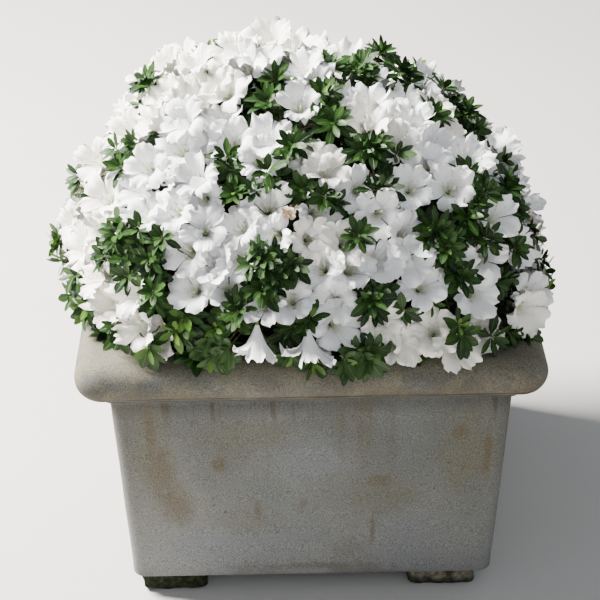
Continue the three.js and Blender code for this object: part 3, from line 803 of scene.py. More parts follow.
def petal_finish(name, colour):
    """A thin ruffled petal: a plain colour, the faintest clouding, and fine ribs that run out to its edge."""
    f = Finish(name, colour, 0.55, 0.25)
    side, along = f.blade()
    f.colour(f.mixed(f.span(f.noise(70, 2), 0.3, 0.7), shade(colour, 0.965), colour))
    ribs = f.math("SINE", f.product(f.math("SUBTRACT", side, 0.5), 36.0), 0.0)
    f.relief(f.product(ribs, f.span(along, 0.2, 0.6)), 0.0003, 0.22)
    f.relief(f.noise(150, 3), 0.0014, 0.5)
    return f.material


def soft_finish(name, colour, roughness):
    """A stamen, stalk, throat or withered petal: a plain colour with faint clouding and crinkle."""
    f = Finish(name, colour, roughness, 0.25)
    f.colour(f.mixed(f.span(f.noise(70, 2), 0.3, 0.7), shade(colour, 0.93), colour))
    f.relief(f.noise(260, 2), 0.0004, 0.35)
    return f.material


# Growth

MASS_AXES = np.array([direction(float(azimuth), float(elevation)) for _, azimuth, elevation, _ in MASSES])
MASS_BULGES = np.array([bulge for *_, bulge in MASSES])


def crown_radius(d):
    """The crown's radius towards directions d.

    It is that of an ellipsoid, swollen by the masses near it and creased where two of them meet, as in the
    solids.
    """
    ellipsoid = 1 / np.linalg.norm(d / CROWN_HALVES, axis=-1)
    dots = d @ MASS_AXES.T
    weights = np.exp(LOBE_BLEND * (dots - 1))
    bulge = (weights * MASS_BULGES).sum(-1) / weights.sum(-1)
    ranked = np.sort(dots, -1)
    apart = np.minimum(1, (ranked[..., -1] - ranked[..., -2]) / CREASE_WIDTH)
    return ellipsoid * bulge * (1 - CREASE_DEPTH * (1 - apart) ** 2)


def on_crown(d, share=1.0):
    """Points at this share of the crown's radius towards directions d."""
    return CROWN_CENTRE + d * (crown_radius(d) * share)[..., None]


def spread_directions(count, lowest):
    """Directions spread evenly by the golden angle, from the elevation whose sine is lowest to the zenith."""
    i = np.arange(count)
    height = lowest + (1 - lowest) * (i + 0.5) / count
    level = np.sqrt(1 - height**2)
    turn = GOLDEN_ANGLE * i
    return np.stack([level * np.cos(turn), level * np.sin(turn), height], -1)


def distances(places, others):
    """The distance from each place to each of the others."""
    return np.linalg.norm(places[:, None] - others[None], axis=-1)


def spaced(rng, places, spacing, taken=None, taken_spacing=0.0):
    """Picks places in random order, each more than spacing from those picked before it.

    They also keep more than taken_spacing from the places that are taken.
    """
    if taken is not None and len(taken):
        free = distances(places, taken).min(1) > taken_spacing
    else:
        free = np.ones(len(places), bool)
    picked = []
    for index in rng.permutation(len(places)):
        if not free[index]:
            continue
        picked.append(index)
        free &= np.linalg.norm(places - places[index], axis=1) > spacing
    return np.array(picked, int)


def tilted(rng, axes, amount):
    """Axes that stray at random by up to about this share of their length."""
    return unit(axes + amount * rng.uniform(-1, 1, axes.shape))


TO_VIEWER = direction(*VIEWER)
LIFT = 0.14 * UPWARD


def front_blooms(rng):
    """Directions, axes and openness of the front's blooms, turned towards the viewer as their table says."""
    front = np.array(FRONT_BLOOMS)
    d = direction(front[:, 0], front[:, 1])
    turned = 0.5 * front[:, 2:3]
    axes = tilted(rng, unit(d * (1 - turned) + TO_VIEWER * turned + LIFT), BLOOM_STRAY)
    return d, axes, front[:, 3] * rng.uniform(0.5, 0.92, len(front))


def wild_blooms(wild, tried, taken):
    """Directions, axes and openness of blooms beyond the front, in drifts, clear of those that are taken."""
    drift = ripple(tried, DRIFT_WAVE, 21, 2)
    beyond = tried @ unit(TO_VIEWER + 0.25 * UPWARD) < FRONT_FIELD
    beyond |= (tried[:, 1] > 0.12) & (tried[:, 0] < 0.25)
    tried = tried[beyond & (drift > DRIFT_GAP)]
    d = tried[spaced(wild, on_crown(tried), WILD_SPACING, on_crown(taken), WILD_FROM_FRONT)]
    axes = tilted(wild, unit(d + LIFT), BLOOM_STRAY)
    return d, axes, wild.uniform(0.45, 1.0, len(d))


def tucked_blooms(wild, tried, taken):
    """Directions, axes and openness of blooms tucked in where the third nearest of those taken is close."""
    near = np.sort(distances(on_crown(tried), on_crown(taken)), 1)
    leafy = on_crown(direction(*np.array(FRONT_ROSETTES).T[:2]))
    bare = distances(on_crown(tried), leafy).min(1) > TUCKED_FROM_LEAVES
    dense = (near[:, 2] < CROWDED - 0.01 * tried[:, 0]) & (tried @ TO_VIEWER > -0.1)
    d = tried[bare & (near[:, 0] > TUCKED_FROM_BLOOMS) & dense & (tried[:, 2] > 0.08)]
    d = d[spaced(wild, on_crown(d), TUCKED_SPACING)]
    axes = tilted(wild, d, TUCKED_STRAY)
    return d, axes, wild.uniform(0.5, 1.0, len(d))


def bloom_reach(d, share, own):
    """How far the mouths of blooms stand from the crown's centre, at this share of its radius.

    own is how many of them are the front's. The others are drawn in a little more.
    """
    reach = crown_radius(d) * share + 0.003 - RIGHT_DRAW * np.clip(d[:, 0], 0, 1)
    reach -= 0.005 * ease(-d[:, 1], 0.75, 0.95)
    peak = ease(d @ direction(222, 79), 0.94, 0.985)
    slack = ease(d @ direction(325, 72), 0.94, 0.985)
    reach += 0.005 * peak - 0.008 * slack
    others = d[own:]
    reach[own:] -= 0.008 * (ease(-others[:, 0], 0.8, 0.95) + ease(others[:, 2], 0.93, 0.98))
    reach[own:] -= 0.006 + 0.009 * ease((d @ TO_VIEWER)[own:], -0.15, 0.1)
    return reach


@functools.lru_cache(maxsize=None)
def blooms():
    """Every bloom: foot, axis, direction of its place on the crown, size, openness and turn round its axis.

    Those of the front have their own places. The others are spread over the rest of the crown, in drifts.
    """
    rng = np.random.default_rng(settings().seed)
    wild = np.random.default_rng(settings().seed + 20)
    everywhere = spread_directions(DIRECTIONS_TRIED, LOWEST_BLOOM)
    kinds = [front_blooms(rng)]
    own = len(kinds[0][0])
    kinds.append(wild_blooms(wild, everywhere, kinds[0][0]))
    kinds.append(tucked_blooms(wild, everywhere, np.concatenate([kinds[0][0], kinds[1][0]])))
    d, axes, openness = (np.concatenate(column) for column in zip(*kinds))

    def drawn(low, high):
        """A number for each bloom; the front's numbers don't depend on how many wild blooms there are."""
        first = rng.uniform(low, high, own)
        return np.concatenate([first, wild.uniform(low, high, len(d) - own)])

    size = drawn(0.9, 1.06)
    reach = bloom_reach(d, drawn(0.965, 1.02), own)
    foot = CROWN_CENTRE + d * reach[:, None] - axes * (bloom_depth(openness) * size)[:, None]
    hung, mouth, hung_size, hung_openness = (np.array(column) for column in zip(*HANGING_BLOOMS))
    down = unit(mouth - hung)
    a, b = across(down)
    turn = drawn(0, 2 * np.pi)
    return {
        "foot": np.concatenate([foot, hung]),
        "axis": np.concatenate([axes, down]),
        "d": np.concatenate([d, unit(hung - CROWN_CENTRE)]),
        "size": np.concatenate([size, hung_size]),
        "openness": np.concatenate([openness, hung_openness]),
        "turn": np.concatenate([turn, np.arctan2(b @ TO_VIEWER, a @ TO_VIEWER)]),
    }


def bloom_depth(openness):
    """Depth of a bloom of full size from its foot to its mouth: the narrower, the deeper."""
    return 0.042 - 0.011 * openness


def rosette_group(foot, axis, leaves, length, youth, spread, clear=0.35):
    """Rosettes as columns of the same length; a number that all of them share may be given once."""
    numbers = (leaves, length, youth, spread, clear)
    return (foot, axis, *(np.broadcast_to(number, len(foot)).astype(float) for number in numbers))


def front_rosettes(rng, mouths):
    """The front's rosettes that are clear of the mouths of blooms, and smaller ones beside each of them."""
    front = np.array(FRONT_ROSETTES)
    d = direction(front[:, 0], front[:, 1])
    low = front[:, 1] < LOW_ROSETTE
    turned = 0.45 * front[:, 2:]
    upward = 0.32 * UPWARD * ~low[:, None]
    axis = tilted(rng, unit(d * (1 - turned) + TO_VIEWER * turned + upward), 0.2)
    proud = rng.uniform(-0.005, 0.005, len(d)) - RIGHT_DRAW * np.clip(d[:, 0], 0, 1)
    foot = on_crown(d) + d * proud[:, None]
    foot[:, 2] += 0.011 * ease(-front[:, 1], -9, -2)
    free = distances(foot + d * 0.008, mouths).min(1) > 0.016
    apart = spaced(rng, foot[free], 0.021)
    low, d, axis, foot = (column[free][apart] for column in (low, d, axis, foot))
    youth = np.where(low, 0.45, 0.3) * rng.uniform(0.4, 1.5, len(d))
    length = np.where(low, 1.12, 1.0) * rng.uniform(0.9, 1.1, len(d))
    large = rosette_group(foot, axis, np.where(low, 12, 17), length, youth, np.where(low, 1.15, 1.0), 0.0)
    low, d, axis, beside = (np.repeat(column, 3, 0) for column in (low, d, axis, foot))
    out = around(d, rng.uniform(0, 2 * np.pi, len(d)))
    out[low, 2] = np.abs(out[low, 2])
    aside = rng.uniform(0.011, 0.016, (len(d), 1))
    below = rng.uniform(0.002, 0.009, (len(d), 1))
    beside = beside + out * aside - d * below
    picked = spaced(rng, beside, 0.0125, np.concatenate([foot, mouths]), 0.0115)
    youth = np.where(low, 0.4, 0.25)[picked] * rng.uniform(0.3, 1.6, len(picked))
    axis = tilted(rng, unit(axis + 0.4 * out)[picked], 0.2)
    length = rng.uniform(0.75, 1.0, len(picked))
    return large, rosette_group(beside[picked], axis, 12, length, youth, 1.0, 0.0)


def layer_rosettes(wild, taken, layer):
    """Rosettes spread over one layer of the crown, clear of the places that are taken."""
    share, spacing, clear, leaves, stray, youth, spread, lowest = layer
    tried = spread_directions(LAYER_TRIED, lowest)
    places = on_crown(tried, share)
    picked = spaced(wild, places, spacing, taken if clear else None, clear)
    depth = wild.uniform(-0.012, 0.008, len(picked))
    foot = places[picked] + tried[picked] * depth[:, None] - tried[picked] * 0.012
    length = wild.uniform(0.8, 1.1, len(picked))
    age = youth * wild.uniform(0.2, 2.0, len(picked))
    return rosette_group(foot, tilted(wild, tried[picked], stray), leaves, length, age, spread)


@functools.lru_cache(maxsize=None)
def rosettes():
    """Every rosette of leaves: foot, axis, number of leaves, length, youth, spread and clear.

    clear says how far its leaves keep from the front of a bloom, in half blooms. One stands under each bloom
    that doesn't hang. Others fill the crown's skin where no bloom is, and the layers below it.
    """
    rng = np.random.default_rng(settings().seed + 1)
    wild = np.random.default_rng(settings().seed + 21)
    flowers = blooms()
    mouths = flowers["foot"] + flowers["axis"] * MOUTH_RISE
    upright = slice(0, len(flowers["foot"]) - len(HANGING_BLOOMS))
    stalk = (flowers["foot"] - flowers["axis"] * 0.013)[upright]
    axis = tilted(wild, flowers["axis"][upright], 0.25)
    groups = [rosette_group(stalk, axis, 6, wild.uniform(0.6, 0.85, len(stalk)), 0.1, 1.2)]
    groups.extend(front_rosettes(rng, mouths))
    taken = np.concatenate([mouths, groups[1][0], groups[2][0]])
    groups.extend(layer_rosettes(wild, taken, layer) for layer in ROSETTE_LAYERS)
    foot, axis, *numbers = (np.concatenate(column) for column in zip(*groups))
    leaves, length, youth, spread, clear = numbers
    foot = resting(foot, 0.005)
    kept = ~inside_bloom((foot + axis * 0.008)[:, None], clear)
    kept[: len(stalk)] = True
    names = ("foot", "axis", "leaves", "length", "youth", "spread", "clear")
    columns = (foot, axis, leaves.astype(int), length, youth, spread, clear)
    return {name: column[kept] for name, column in zip(names, columns)}


@functools.lru_cache(maxsize=None)
def shoots():
    """The twigs as curves: (N, 4, 3) controls and radii at both ends.

    In each mass a stem carries on from the bough's tip. Its main twigs leave it forwards and bend out to
    heads that lie far apart, and a finer twig goes from the nearest main twig to every other head.
    """
    rng = np.random.default_rng(settings().seed + 2)
    leafy = rosettes()
    heads = leafy["foot"] + leafy["axis"] * 0.002
    axes = leafy["axis"]
    owner = (unit(heads - CROWN_CENTRE) @ MASS_AXES.T).argmax(1)
    controls, root_radii, tip_radii = [], [], []

    def add(start, leave, end, arrive, root_radius, tip_radius):
        """Adds curves that leave their starts and arrive at their ends in these directions."""
        length = np.linalg.norm(end - start, axis=1, keepdims=True)
        bent = [start, start + leave * 0.32 * length, end - arrive * 0.34 * length, end]
        controls.append(np.stack(bent, 1))
        root_radii.append(np.full(len(start), root_radius))
        tip_radii.append(np.full(len(start), tip_radius))
        return controls[-1]

    for index, axis in enumerate(MASS_AXES):
        radius = crown_radius(axis)
        start = CROWN_CENTRE + axis * BOUGH_END
        end = CROWN_CENTRE + axis * radius * MASS_STEM_END
        add(start[None], axis[None], end[None], axis[None], BOUGH_TIP_RADIUS, MASS_STEM_TIP_RADIUS)
        own = np.flatnonzero(owner == index)
        main = own[spaced(rng, heads[own], MAIN_TWIG_SPACING)]
        share = rng.uniform(*FORK_SPAN, len(main))
        forks = CROWN_CENTRE + axis * (radius * share)[:, None]
        leave = np.broadcast_to(axis, forks.shape)
        grown = add(forks, leave, heads[main], axes[main], *MAIN_TWIG_RADII)
        fine = np.setdiff1d(own, main)
        nearest = distances(heads[fine], heads[main]).argmin(1)
        points = curve_points(grown, 9)
        step = rng.integers(3, 7, len(fine))
        root = points[nearest, step]
        leave = unit(points[nearest, step + 1] - points[nearest, step - 1])
        add(root, leave, heads[fine], axes[fine], *FINE_TWIG_RADII)
    return np.concatenate(controls), np.concatenate(root_radii), np.concatenate(tip_radii)


def resting(points, clear=0.0008):
    """Points that would sink into the rim rest on it: on its flat top, or on the roll at its edge."""
    beyond = np.clip(np.abs(points[..., :2]).max(-1) - (RIM_HALF - RIM_ROLL), 0, RIM_ROLL)
    floor = RIM_BOTTOM + RIM_ROLL + np.sqrt(RIM_ROLL**2 - beyond**2) + clear
    lifted = points.copy()
    lifted[..., 2] = np.maximum(points[..., 2], floor)
    return lifted


# Leaves

# Where the points of a leaf lie: shares of its length, and of its half width on either side
LEAF_ROWS = np.array([0.14, 0.36, 0.64, 0.88])
LEAF_SIDES = np.array([-1.0, 0.0, 1.0])
# Shares of its length at which a leaf is held clear of the blooms
LEAF_SAMPLES = np.array([0.3, 0.55, 0.8, 1.0])


def leaf_faces():
    """Faces of one leaf: a foot, four rows of three points and a tip."""
    rows = 1 + np.arange(len(LEAF_ROWS) * 3).reshape(-1, 3)
    tip = rows[-1, -1] + 1
    quads = 1 + grid_faces(len(LEAF_ROWS), 3, False)
    foot = [[0, rows[0, 0], rows[0, 1]], [0, rows[0, 1], rows[0, 2]]]
    end = [[tip, rows[-1, 1], rows[-1, 0]], [tip, rows[-1, 2], rows[-1, 1]]]
    return quads[:, ::-1], np.array(foot + end)


def leaf_shape(foot, along, up, length, width, curl, fold):
    """Leaves as one mesh.

    A point at share t of the length and v of the half width lies t * length along the leaf, less what it
    curls, v * half width to its side, where the half width is widest a little past the middle as
    sin(pi * t^1.25)^0.74, and curl * t^2 * length below the straight line, plus fold * |v| * half width.
    """
    side = np.cross(up, along)
    t = np.concatenate([[0.0], np.repeat(LEAF_ROWS, 3), [1.0]])
    v = np.concatenate([[0.0], np.tile(LEAF_SIDES, len(LEAF_ROWS)), [0.0]])
    half = width[:, None] / 2 * np.sin(np.pi * np.clip(t, 0.001, 0.999) ** 1.25) ** 0.74
    forward = length[:, None] * (t - 0.35 * curl[:, None] ** 2 * t**3)
    rise = -curl[:, None] * length[:, None] * t**2 + fold[:, None] * np.abs(v) * half
    sideways = v * half
    points = foot[:, None] + along[:, None] * forward[..., None] + side[:, None] * sideways[..., None]
    points = points + up[:, None] * rise[..., None]
    quads, corners = leaf_faces()
    size = points.shape[1]
    points = resting(points)
    faces = [repeated(quads, len(foot), size), repeated(corners, len(foot), size)]
    return points.reshape(-1, 3), faces, np.tile(np.stack([v / 2 + 0.5, t], -1), (len(foot), 1))


def leaf_layout():
    """Foot, direction, upper side, sizes and age of each leaf, set round its rosette's axis.

    Each is turned on from the one before by the golden angle. The first leaves of a rosette are the oldest
    and lie flattest. The last ones stand up in the middle.
    """
    look = settings()
    rng = np.random.default_rng(look.seed + 3)
    group = rosettes()
    leaves = group["leaves"]
    which = np.repeat(np.arange(len(leaves)), leaves)
    index = np.arange(len(which)) - np.repeat(np.cumsum(leaves) - leaves, leaves)
    order = index / leaves[which]
    turn = index * GOLDEN_ANGLE + rng.uniform(0, 6.28, len(leaves))[which]
    axis = group["axis"][which]
    out = around(axis, turn)
    tilt = (1.42 - order**1.4) * group["spread"][which] + rng.normal(0, 0.13, len(which))
    along = unit(axis * np.cos(tilt)[:, None] + out * np.sin(tilt)[:, None])
    hang = np.clip((DROOP_FROM - group["foot"][which, 2]) / DROOP_OVER, 0, 1)
    hang = hang * rng.uniform(0.4, 1.0, len(which))
    along = unit(along - 0.65 * UPWARD * hang[:, None])
    up = unit(axis * np.sin(tilt)[:, None] - out * np.cos(tilt)[:, None] + axis * hang[:, None])
    up = unit(up - along * (up * along).sum(1, keepdims=True))
    roll = rng.normal(0, 0.25, len(which))[:, None]
    up = unit(up * np.cos(roll) + np.cross(along, up) * np.sin(roll))
    length = look.leaf_length * group["length"][which] * (1.03 - 0.45 * order**2)
    length = length * rng.uniform(0.85, 1.1, len(which))
    width = look.leaf_width * length / look.leaf_length * rng.uniform(0.85, 1.2, len(which))
    width = width * (1 + 0.25 * hang)
    foot = group["foot"][which] + axis * (0.006 * order - 0.004)[:, None] + out * 0.001
    youth = group["youth"][which] * (0.3 + 1.15 * order) + rng.uniform(-0.12, 0.12, len(which))
    curl = rng.normal(0.16, 0.1, len(which))
    fold = rng.normal(0.16, 0.14, len(which))
    along = unit(resting(foot + along * length[:, None], 0.0035) - foot)
    up = unit(up - along * (up * along).sum(1, keepdims=True))
    clear = group["clear"][which]
    samples = foot[:, None] + (along * length[:, None])[:, None] * LEAF_SAMPLES[:, None]
    kept = ~inside_bloom(samples, clear)
    share = np.bincount(which, kept, len(leaves)) / np.maximum(leaves, 1)
    kept &= (share > ROOM_FOR_LEAVES)[which] | (clear > 0)
    return tuple(column[kept] for column in (foot, along, up, length, width, curl, fold)), youth[kept]


def inside_bloom(samples, clear):
    """Whether each leaf, given by samples along it, is in the way of a bloom.

    It is where it lies in the mouth of a bloom or less than clear in front of it, in half blooms, where it
    would cross the petals, and where it hides one of the hanging blooms.
    """
    flower = blooms()
    reach, rise = bloom_profile(np.clip(flower["openness"], 0, 1))
    inside = np.zeros(len(samples), bool)
    hanging = np.arange(len(flower["foot"])) >= len(flower["foot"]) - len(HANGING_BLOOMS)
    columns = (flower["foot"], flower["axis"], flower["size"], reach, rise, hanging)
    for foot, axis, size, r, z, hangs in zip(*columns):
        near = np.flatnonzero(np.abs(samples[:, 0] - foot).max(1) < 0.09)
        rel = (samples[near] - foot) / (settings().bloom_width / 2 * size)
        up = rel @ axis
        out = np.linalg.norm(rel - up[..., None] * axis, axis=-1)
        over = up - np.interp(out, r, z)
        within = out < 0.92 * r[-1]
        crossing = (within & (over > -0.06)).any(1) & (within & (over < 0.06) & (up > -0.1)).any(1)
        mouth = (out < 0.7 * r[-1]) & (over > -0.05) & (up < z.max() + clear[near, None])
        before = hangs & (out < 0.95) & (up > 0.3) & (up < 1.6)
        inside[near] |= crossing | (mouth | before).any(1)
    return inside


# Blooms

# A petal's grid: rows t from foot to tip and points v from side to side
PETAL_T = np.array([0.0, 0.2, 0.4, 0.56, 0.7, 0.85, 1.0])
PETAL_V = np.array([-1.0, -0.86, -0.68, -0.47, -0.24, 0.0, 0.24, 0.47, 0.68, 0.86, 1.0])
# For each row, in half blooms: reach from the axis and rise along it, open and as a funnel, and half width
OPEN_REACH = np.array([1.8, 4.0, 7.6, 12.4, 18.6, 25.8, 32.0]) / 31
OPEN_RISE = np.array([0.0, 9.0, 17.5, 24.0, 28.6, 31.0, 29.6]) / 31
FUNNEL_REACH = np.array([1.8, 5.2, 9.2, 12.6, 16.0, 21.0, 27.0]) / 31
FUNNEL_RISE = np.array([0.0, 9.5, 18.5, 26.0, 32.5, 38.5, 41.5]) / 31
HALF_WIDTH = np.array([1.2, 2.5, 4.8, 8.2, 12.8, 14.2, 10.2]) / 31
# For each row: how far its edges reach as a share of its middle, and how much of a free lobe it is
EDGE_REACH = np.array([0.8, 0.8, 0.81, 0.83, 0.9, 0.9, 0.84])
LOBE_SHARE = np.array([0.0, 0.0, 0.0, 0.25, 0.75, 1.0, 1.0])
# Row from which a petal is free of its neighbours, and half the angle that it spans in the tube, in degrees
FREE_FROM = 0.44
PETAL_ARC = 36.5
# The grid as whole arrays: v and t at every point, and how far into the free lobe its row lies
V = PETAL_V[None, None, :]
T = PETAL_T[None, :, None]
LOBE = np.clip((T - FREE_FROM) / (1 - FREE_FROM), 0, 1)
PETALS = 5
STAMENS = 5
STAMEN_RADII = np.array([0.0005, 0.00045, 0.0004, 0.00035, 0.0003])


def bloom_profile(openness):
    """Reach from the axis and rise along it for each row of a petal, between a funnel and an open bloom."""
    share = openness[:, None]
    reach = FUNNEL_REACH + (OPEN_REACH - FUNNEL_REACH) * share
    rise = FUNNEL_RISE + (OPEN_RISE - FUNNEL_RISE) * share
    return reach, rise


def petal_outline(rng, r, openness, calm, phase):
    """x out from the bloom's axis, y to the side, and how free of the tube each point of each petal is.

    In the tube the petals are arcs of one circle of radius r. In the lobe a point lies v * half width to the
    side, the edges and the tip's corners fall back, and the tip is frilled by waves and notched.
    """
    frill = np.sin(2.1 * np.pi * V + phase[2]) * 0.65 + np.sin(3.1 * np.pi * V + phase[3]) * 0.35
    notch = 0.05 * np.exp(-((V / 0.22) ** 2)) * LOBE**6
    arc_x = r * np.cos(np.radians(PETAL_ARC) * V)
    arc_y = r * np.sin(np.radians(PETAL_ARC) * V)
    edge = EDGE_REACH[None, :, None] + 0.06 * rng.uniform(-1, 1, (len(r), 1, 1)) * LOBE
    lobe_x = r * (1 - (1 - edge) * np.abs(V) ** 2.4) - notch + 0.055 * calm * frill * LOBE**4
    widened = 1 + 0.1 * rng.uniform(-1, 1, (len(r), 1, 1))
    lobe_y = HALF_WIDTH[None, :, None] * V * widened * (0.85 + 0.15 * openness[:, None, None])
    share = LOBE_SHARE[None, :, None] * (0.6 + 0.4 * np.clip(openness, 0, 1)[:, None, None])
    return arc_x * (1 - share) + lobe_x * share, arc_y * (1 - share) + lobe_y * share, share


def petal_height(rng, rise, share, calm, phase):
    """Height of each point along the axis: its row's rise, and waves and ruffles that grow towards the tip.

    The lobe also swells, bends at its tip and edges and is creased along its middle. Each petal has one edge
    over its neighbour and the other under.
    """
    wave = np.sin(2.6 * np.pi * V * 0.5 + phase[0]) + 0.6 * np.sin(2.6 * np.pi * V + phase[1] + 2 * T)
    waving = LOBE**1.6 * 0.16 * calm * wave * (0.3 + 0.7 * np.abs(V))
    ruffle = 0.11 * calm * LOBE**3 * np.abs(V) ** 0.5 * np.sin(2.9 * np.pi * V + phase[4] + 1.5 * T)
    swell = 0.05 * (1 - V**2) * LOBE * (1 - LOBE) * 4
    tip = rng.normal(-0.03, 0.15, len(rise))[:, None, None] * LOBE**1.6
    edges = rng.normal(-0.04, 0.09, len(rise))[:, None, None] * V**2 * LOBE
    crease = -0.04 * np.exp(-((V / 0.16) ** 2)) * LOBE
    return rise[..., None] + waving + ruffle + 0.045 * V * share + swell + tip + edges + crease


def petal_crumple(rng, calm):
    """Two sets of random dents, six across each row, softly joined, that grow towards the tip and edges."""
    rim = np.clip(LOBE**3 + np.abs(V) ** 3 * LOBE, 0, 1) * calm
    coarse = rng.normal(0, 0.032, (2, len(calm), len(PETAL_T), 6))
    spots = np.linspace(0, 5, len(PETAL_V))
    low = np.minimum(spots.astype(int), 4)
    share_high = ease(spots - low, 0, 1)
    return (coarse[..., low] * (1 - share_high) + coarse[..., low + 1] * share_high) * rim


def petal_shape(chosen):
    """The petals of the chosen blooms as one grid each, with rows t from foot to tip and columns v across.

    A point lies at its outline's x and y out and to the side, and at its height along the bloom's axis.
    """
    flower = {name: values[chosen] for name, values in blooms().items()}
    rng = np.random.default_rng(settings().seed + 4)
    count = len(chosen) * PETALS
    per = np.repeat(np.arange(len(chosen)), PETALS)
    openness = np.clip(flower["openness"][per] + rng.normal(0, 0.1, count), 0, 1.15)
    reach, rise = bloom_profile(openness)
    stretch = 1 + rng.normal(0, 0.045, count)[:, None, None] * LOBE
    phase = rng.uniform(0, 2 * np.pi, (5, count, 1, 1))
    calm = 0.35 + 0.65 * np.clip(openness / 0.5, 0, 1)[:, None, None]
    x, y, share = petal_outline(rng, reach[..., None] * stretch, openness, calm, phase)
    z = petal_height(rng, rise, share, calm, phase)
    crumple = petal_crumple(rng, calm)
    x = x + 0.6 * crumple[0]
    z = z + crumple[1]
    turn = flower["turn"][per] + 2 * np.pi * np.tile(np.arange(PETALS), len(chosen)) / PETALS
    turn = turn + rng.normal(0, 0.05, count)
    axis = flower["axis"][per]
    radial = around(axis, turn)
    beside = np.cross(axis, radial)
    size = (settings().bloom_width / 2 * flower["size"][per])[:, None, None, None]
    points = flower["foot"][per][:, None, None] + size * (
        radial[:, None, None] * x[..., None]
        + beside[:, None, None] * y[..., None]
        + axis[:, None, None] * z[..., None]
    )
    quads = grid_faces(len(PETAL_T), len(PETAL_V), False)[:, ::-1]
    across_petal, up_petal = np.meshgrid(PETAL_V / 2 + 0.5, PETAL_T)
    blade = np.stack([across_petal, up_petal], -1).reshape(-1, 2)
    return resting(points).reshape(-1, 3), [repeated(quads, count, len(blade))], np.tile(blade, (count, 1))


def ring_shape(rows, reach_share, lift, star=0.0):
    """A band inside every bloom, just clear of its petals, between rows of the petals' profile.

    star draws the band's outer row out and in five times round.
    """
    flower = blooms()
    reach, rise = bloom_profile(np.clip(flower["openness"], 0, 1))
    columns = 20
    angle = 2 * np.pi * np.arange(columns) / columns
    row_t = np.array(rows)
    r = np.stack([np.interp(row_t, PETAL_T, one) for one in reach]) * reach_share
    z = np.stack([np.interp(row_t, PETAL_T, one) for one in rise]) + lift
    outer = (np.arange(len(rows)) == len(rows) - 1)[None, :, None]
    wave = 1 + star * np.cos(PETALS * angle)[None, None] * outer
    u, v = across(flower["axis"])
    turned = angle[None] + flower["turn"][:, None]
    out = u[:, None] * np.cos(turned)[..., None] + v[:, None] * np.sin(turned)[..., None]
    size = (settings().bloom_width / 2 * flower["size"])[:, None, None, None]
    points = flower["foot"][:, None, None] + size * (
        out[:, None] * (r[..., None] * wave)[..., None] + flower["axis"][:, None, None] * z[..., None, None]
    )
    quads = grid_faces(len(rows), columns, True)[:, ::-1]
    return points.reshape(-1, 3), [repeated(quads, len(flower["foot"]), len(rows) * columns)]


def stamen_paths():
    """Middle lines of the stamens, from the tube's floor along the axis, spread and bent up at the tips."""
    flower = blooms()
    rng = np.random.default_rng(settings().seed + 5)
    per = np.repeat(np.arange(len(flower["foot"])), STAMENS)
    axis = flower["axis"][per]
    size = (settings().bloom_width / 2 * flower["size"][per])[:, None]
    turn = 2 * np.pi * (np.arange(len(per)) % STAMENS) / STAMENS + rng.uniform(-0.4, 0.4, len(per))
    out = around(axis, turn)
    upward = UPWARD - axis * axis[:, 2:]
    reach = rng.uniform(0.16, 0.34, (len(per), 1))
    long = rng.uniform(0.95, 1.3, (len(per), 1))
    foot = flower["foot"][per]
    controls = [
        foot + size * 0.15 * axis,
        foot + size * (0.5 * axis + out * 0.06),
        foot + size * (0.8 * long * axis + out * reach * 0.7 - upward * 0.06),
        foot + size * (long * axis + out * reach + upward * 0.1),
    ]
    return curve_points(np.stack(controls, 1), 5)


def anther_shape(paths):
    """A small spindle at the tip of each stamen."""
    along = unit(paths[:, -1] - paths[:, -2])
    places = np.array([-0.0002, 0.0006, 0.0014, 0.002])
    steps = paths[:, -1:] + along[:, None] * places[:, None]
    radii = np.broadcast_to(np.array([0.0002, 0.0005, 0.0005, 0.0002]), steps.shape[:2])
    return tubes(steps, radii, 4)


def stalk_shape():
    """The green stalk under each bloom, swollen where the bloom begins."""
    flower = blooms()
    along = np.array([-0.014, -0.007, -0.0015, 0.001, 0.0035])
    paths = flower["foot"][:, None] + flower["axis"][:, None] * along[None, :, None]
    radii = np.broadcast_to(np.array([0.0011, 0.0009, 0.0016, 0.0024, 0.0023]), paths.shape[:2])
    return tubes(paths, radii, 6)


def withered_shape():
    """Curled withered petals: small sheets rolled about their length and crumpled by waves."""
    rng = np.random.default_rng(settings().seed + 6)
    d = direction(*np.array(WITHERED_PLACES, float).T)
    d = np.repeat(d, 3, 0)
    drawn_in = d * 2.2 * RIGHT_DRAW * np.clip(d[:, :1], 0, 1)
    middle = on_crown(d) - drawn_in + rng.uniform(-0.008, 0.008, d.shape)
    axis = tilted(rng, d, 0.8)
    u, v = across(axis)
    s, t = np.meshgrid(np.linspace(-1, 1, 7), np.linspace(-1, 1, 7), indexing="ij")
    phase = rng.uniform(0, 6.28, (2, len(d), 1, 1))
    curl = 1.2 * s[None] + 0.4 * np.sin(3 * t[None] + phase[0])
    x = 0.0045 * np.sin(curl)
    z = 0.004 * (1 - np.cos(curl)) + 0.001 * np.sin(5 * t[None] + phase[1])
    y = 0.0075 * t[None] * (1 - 0.35 * s[None] ** 2)
    points = middle[:, None, None] + u[:, None, None] * x[..., None] + v[:, None, None] * y[..., None]
    points = points + axis[:, None, None] * z[..., None]
    return points.reshape(-1, 3), [repeated(grid_faces(7, 7, False), len(d), 49)]


# Planter

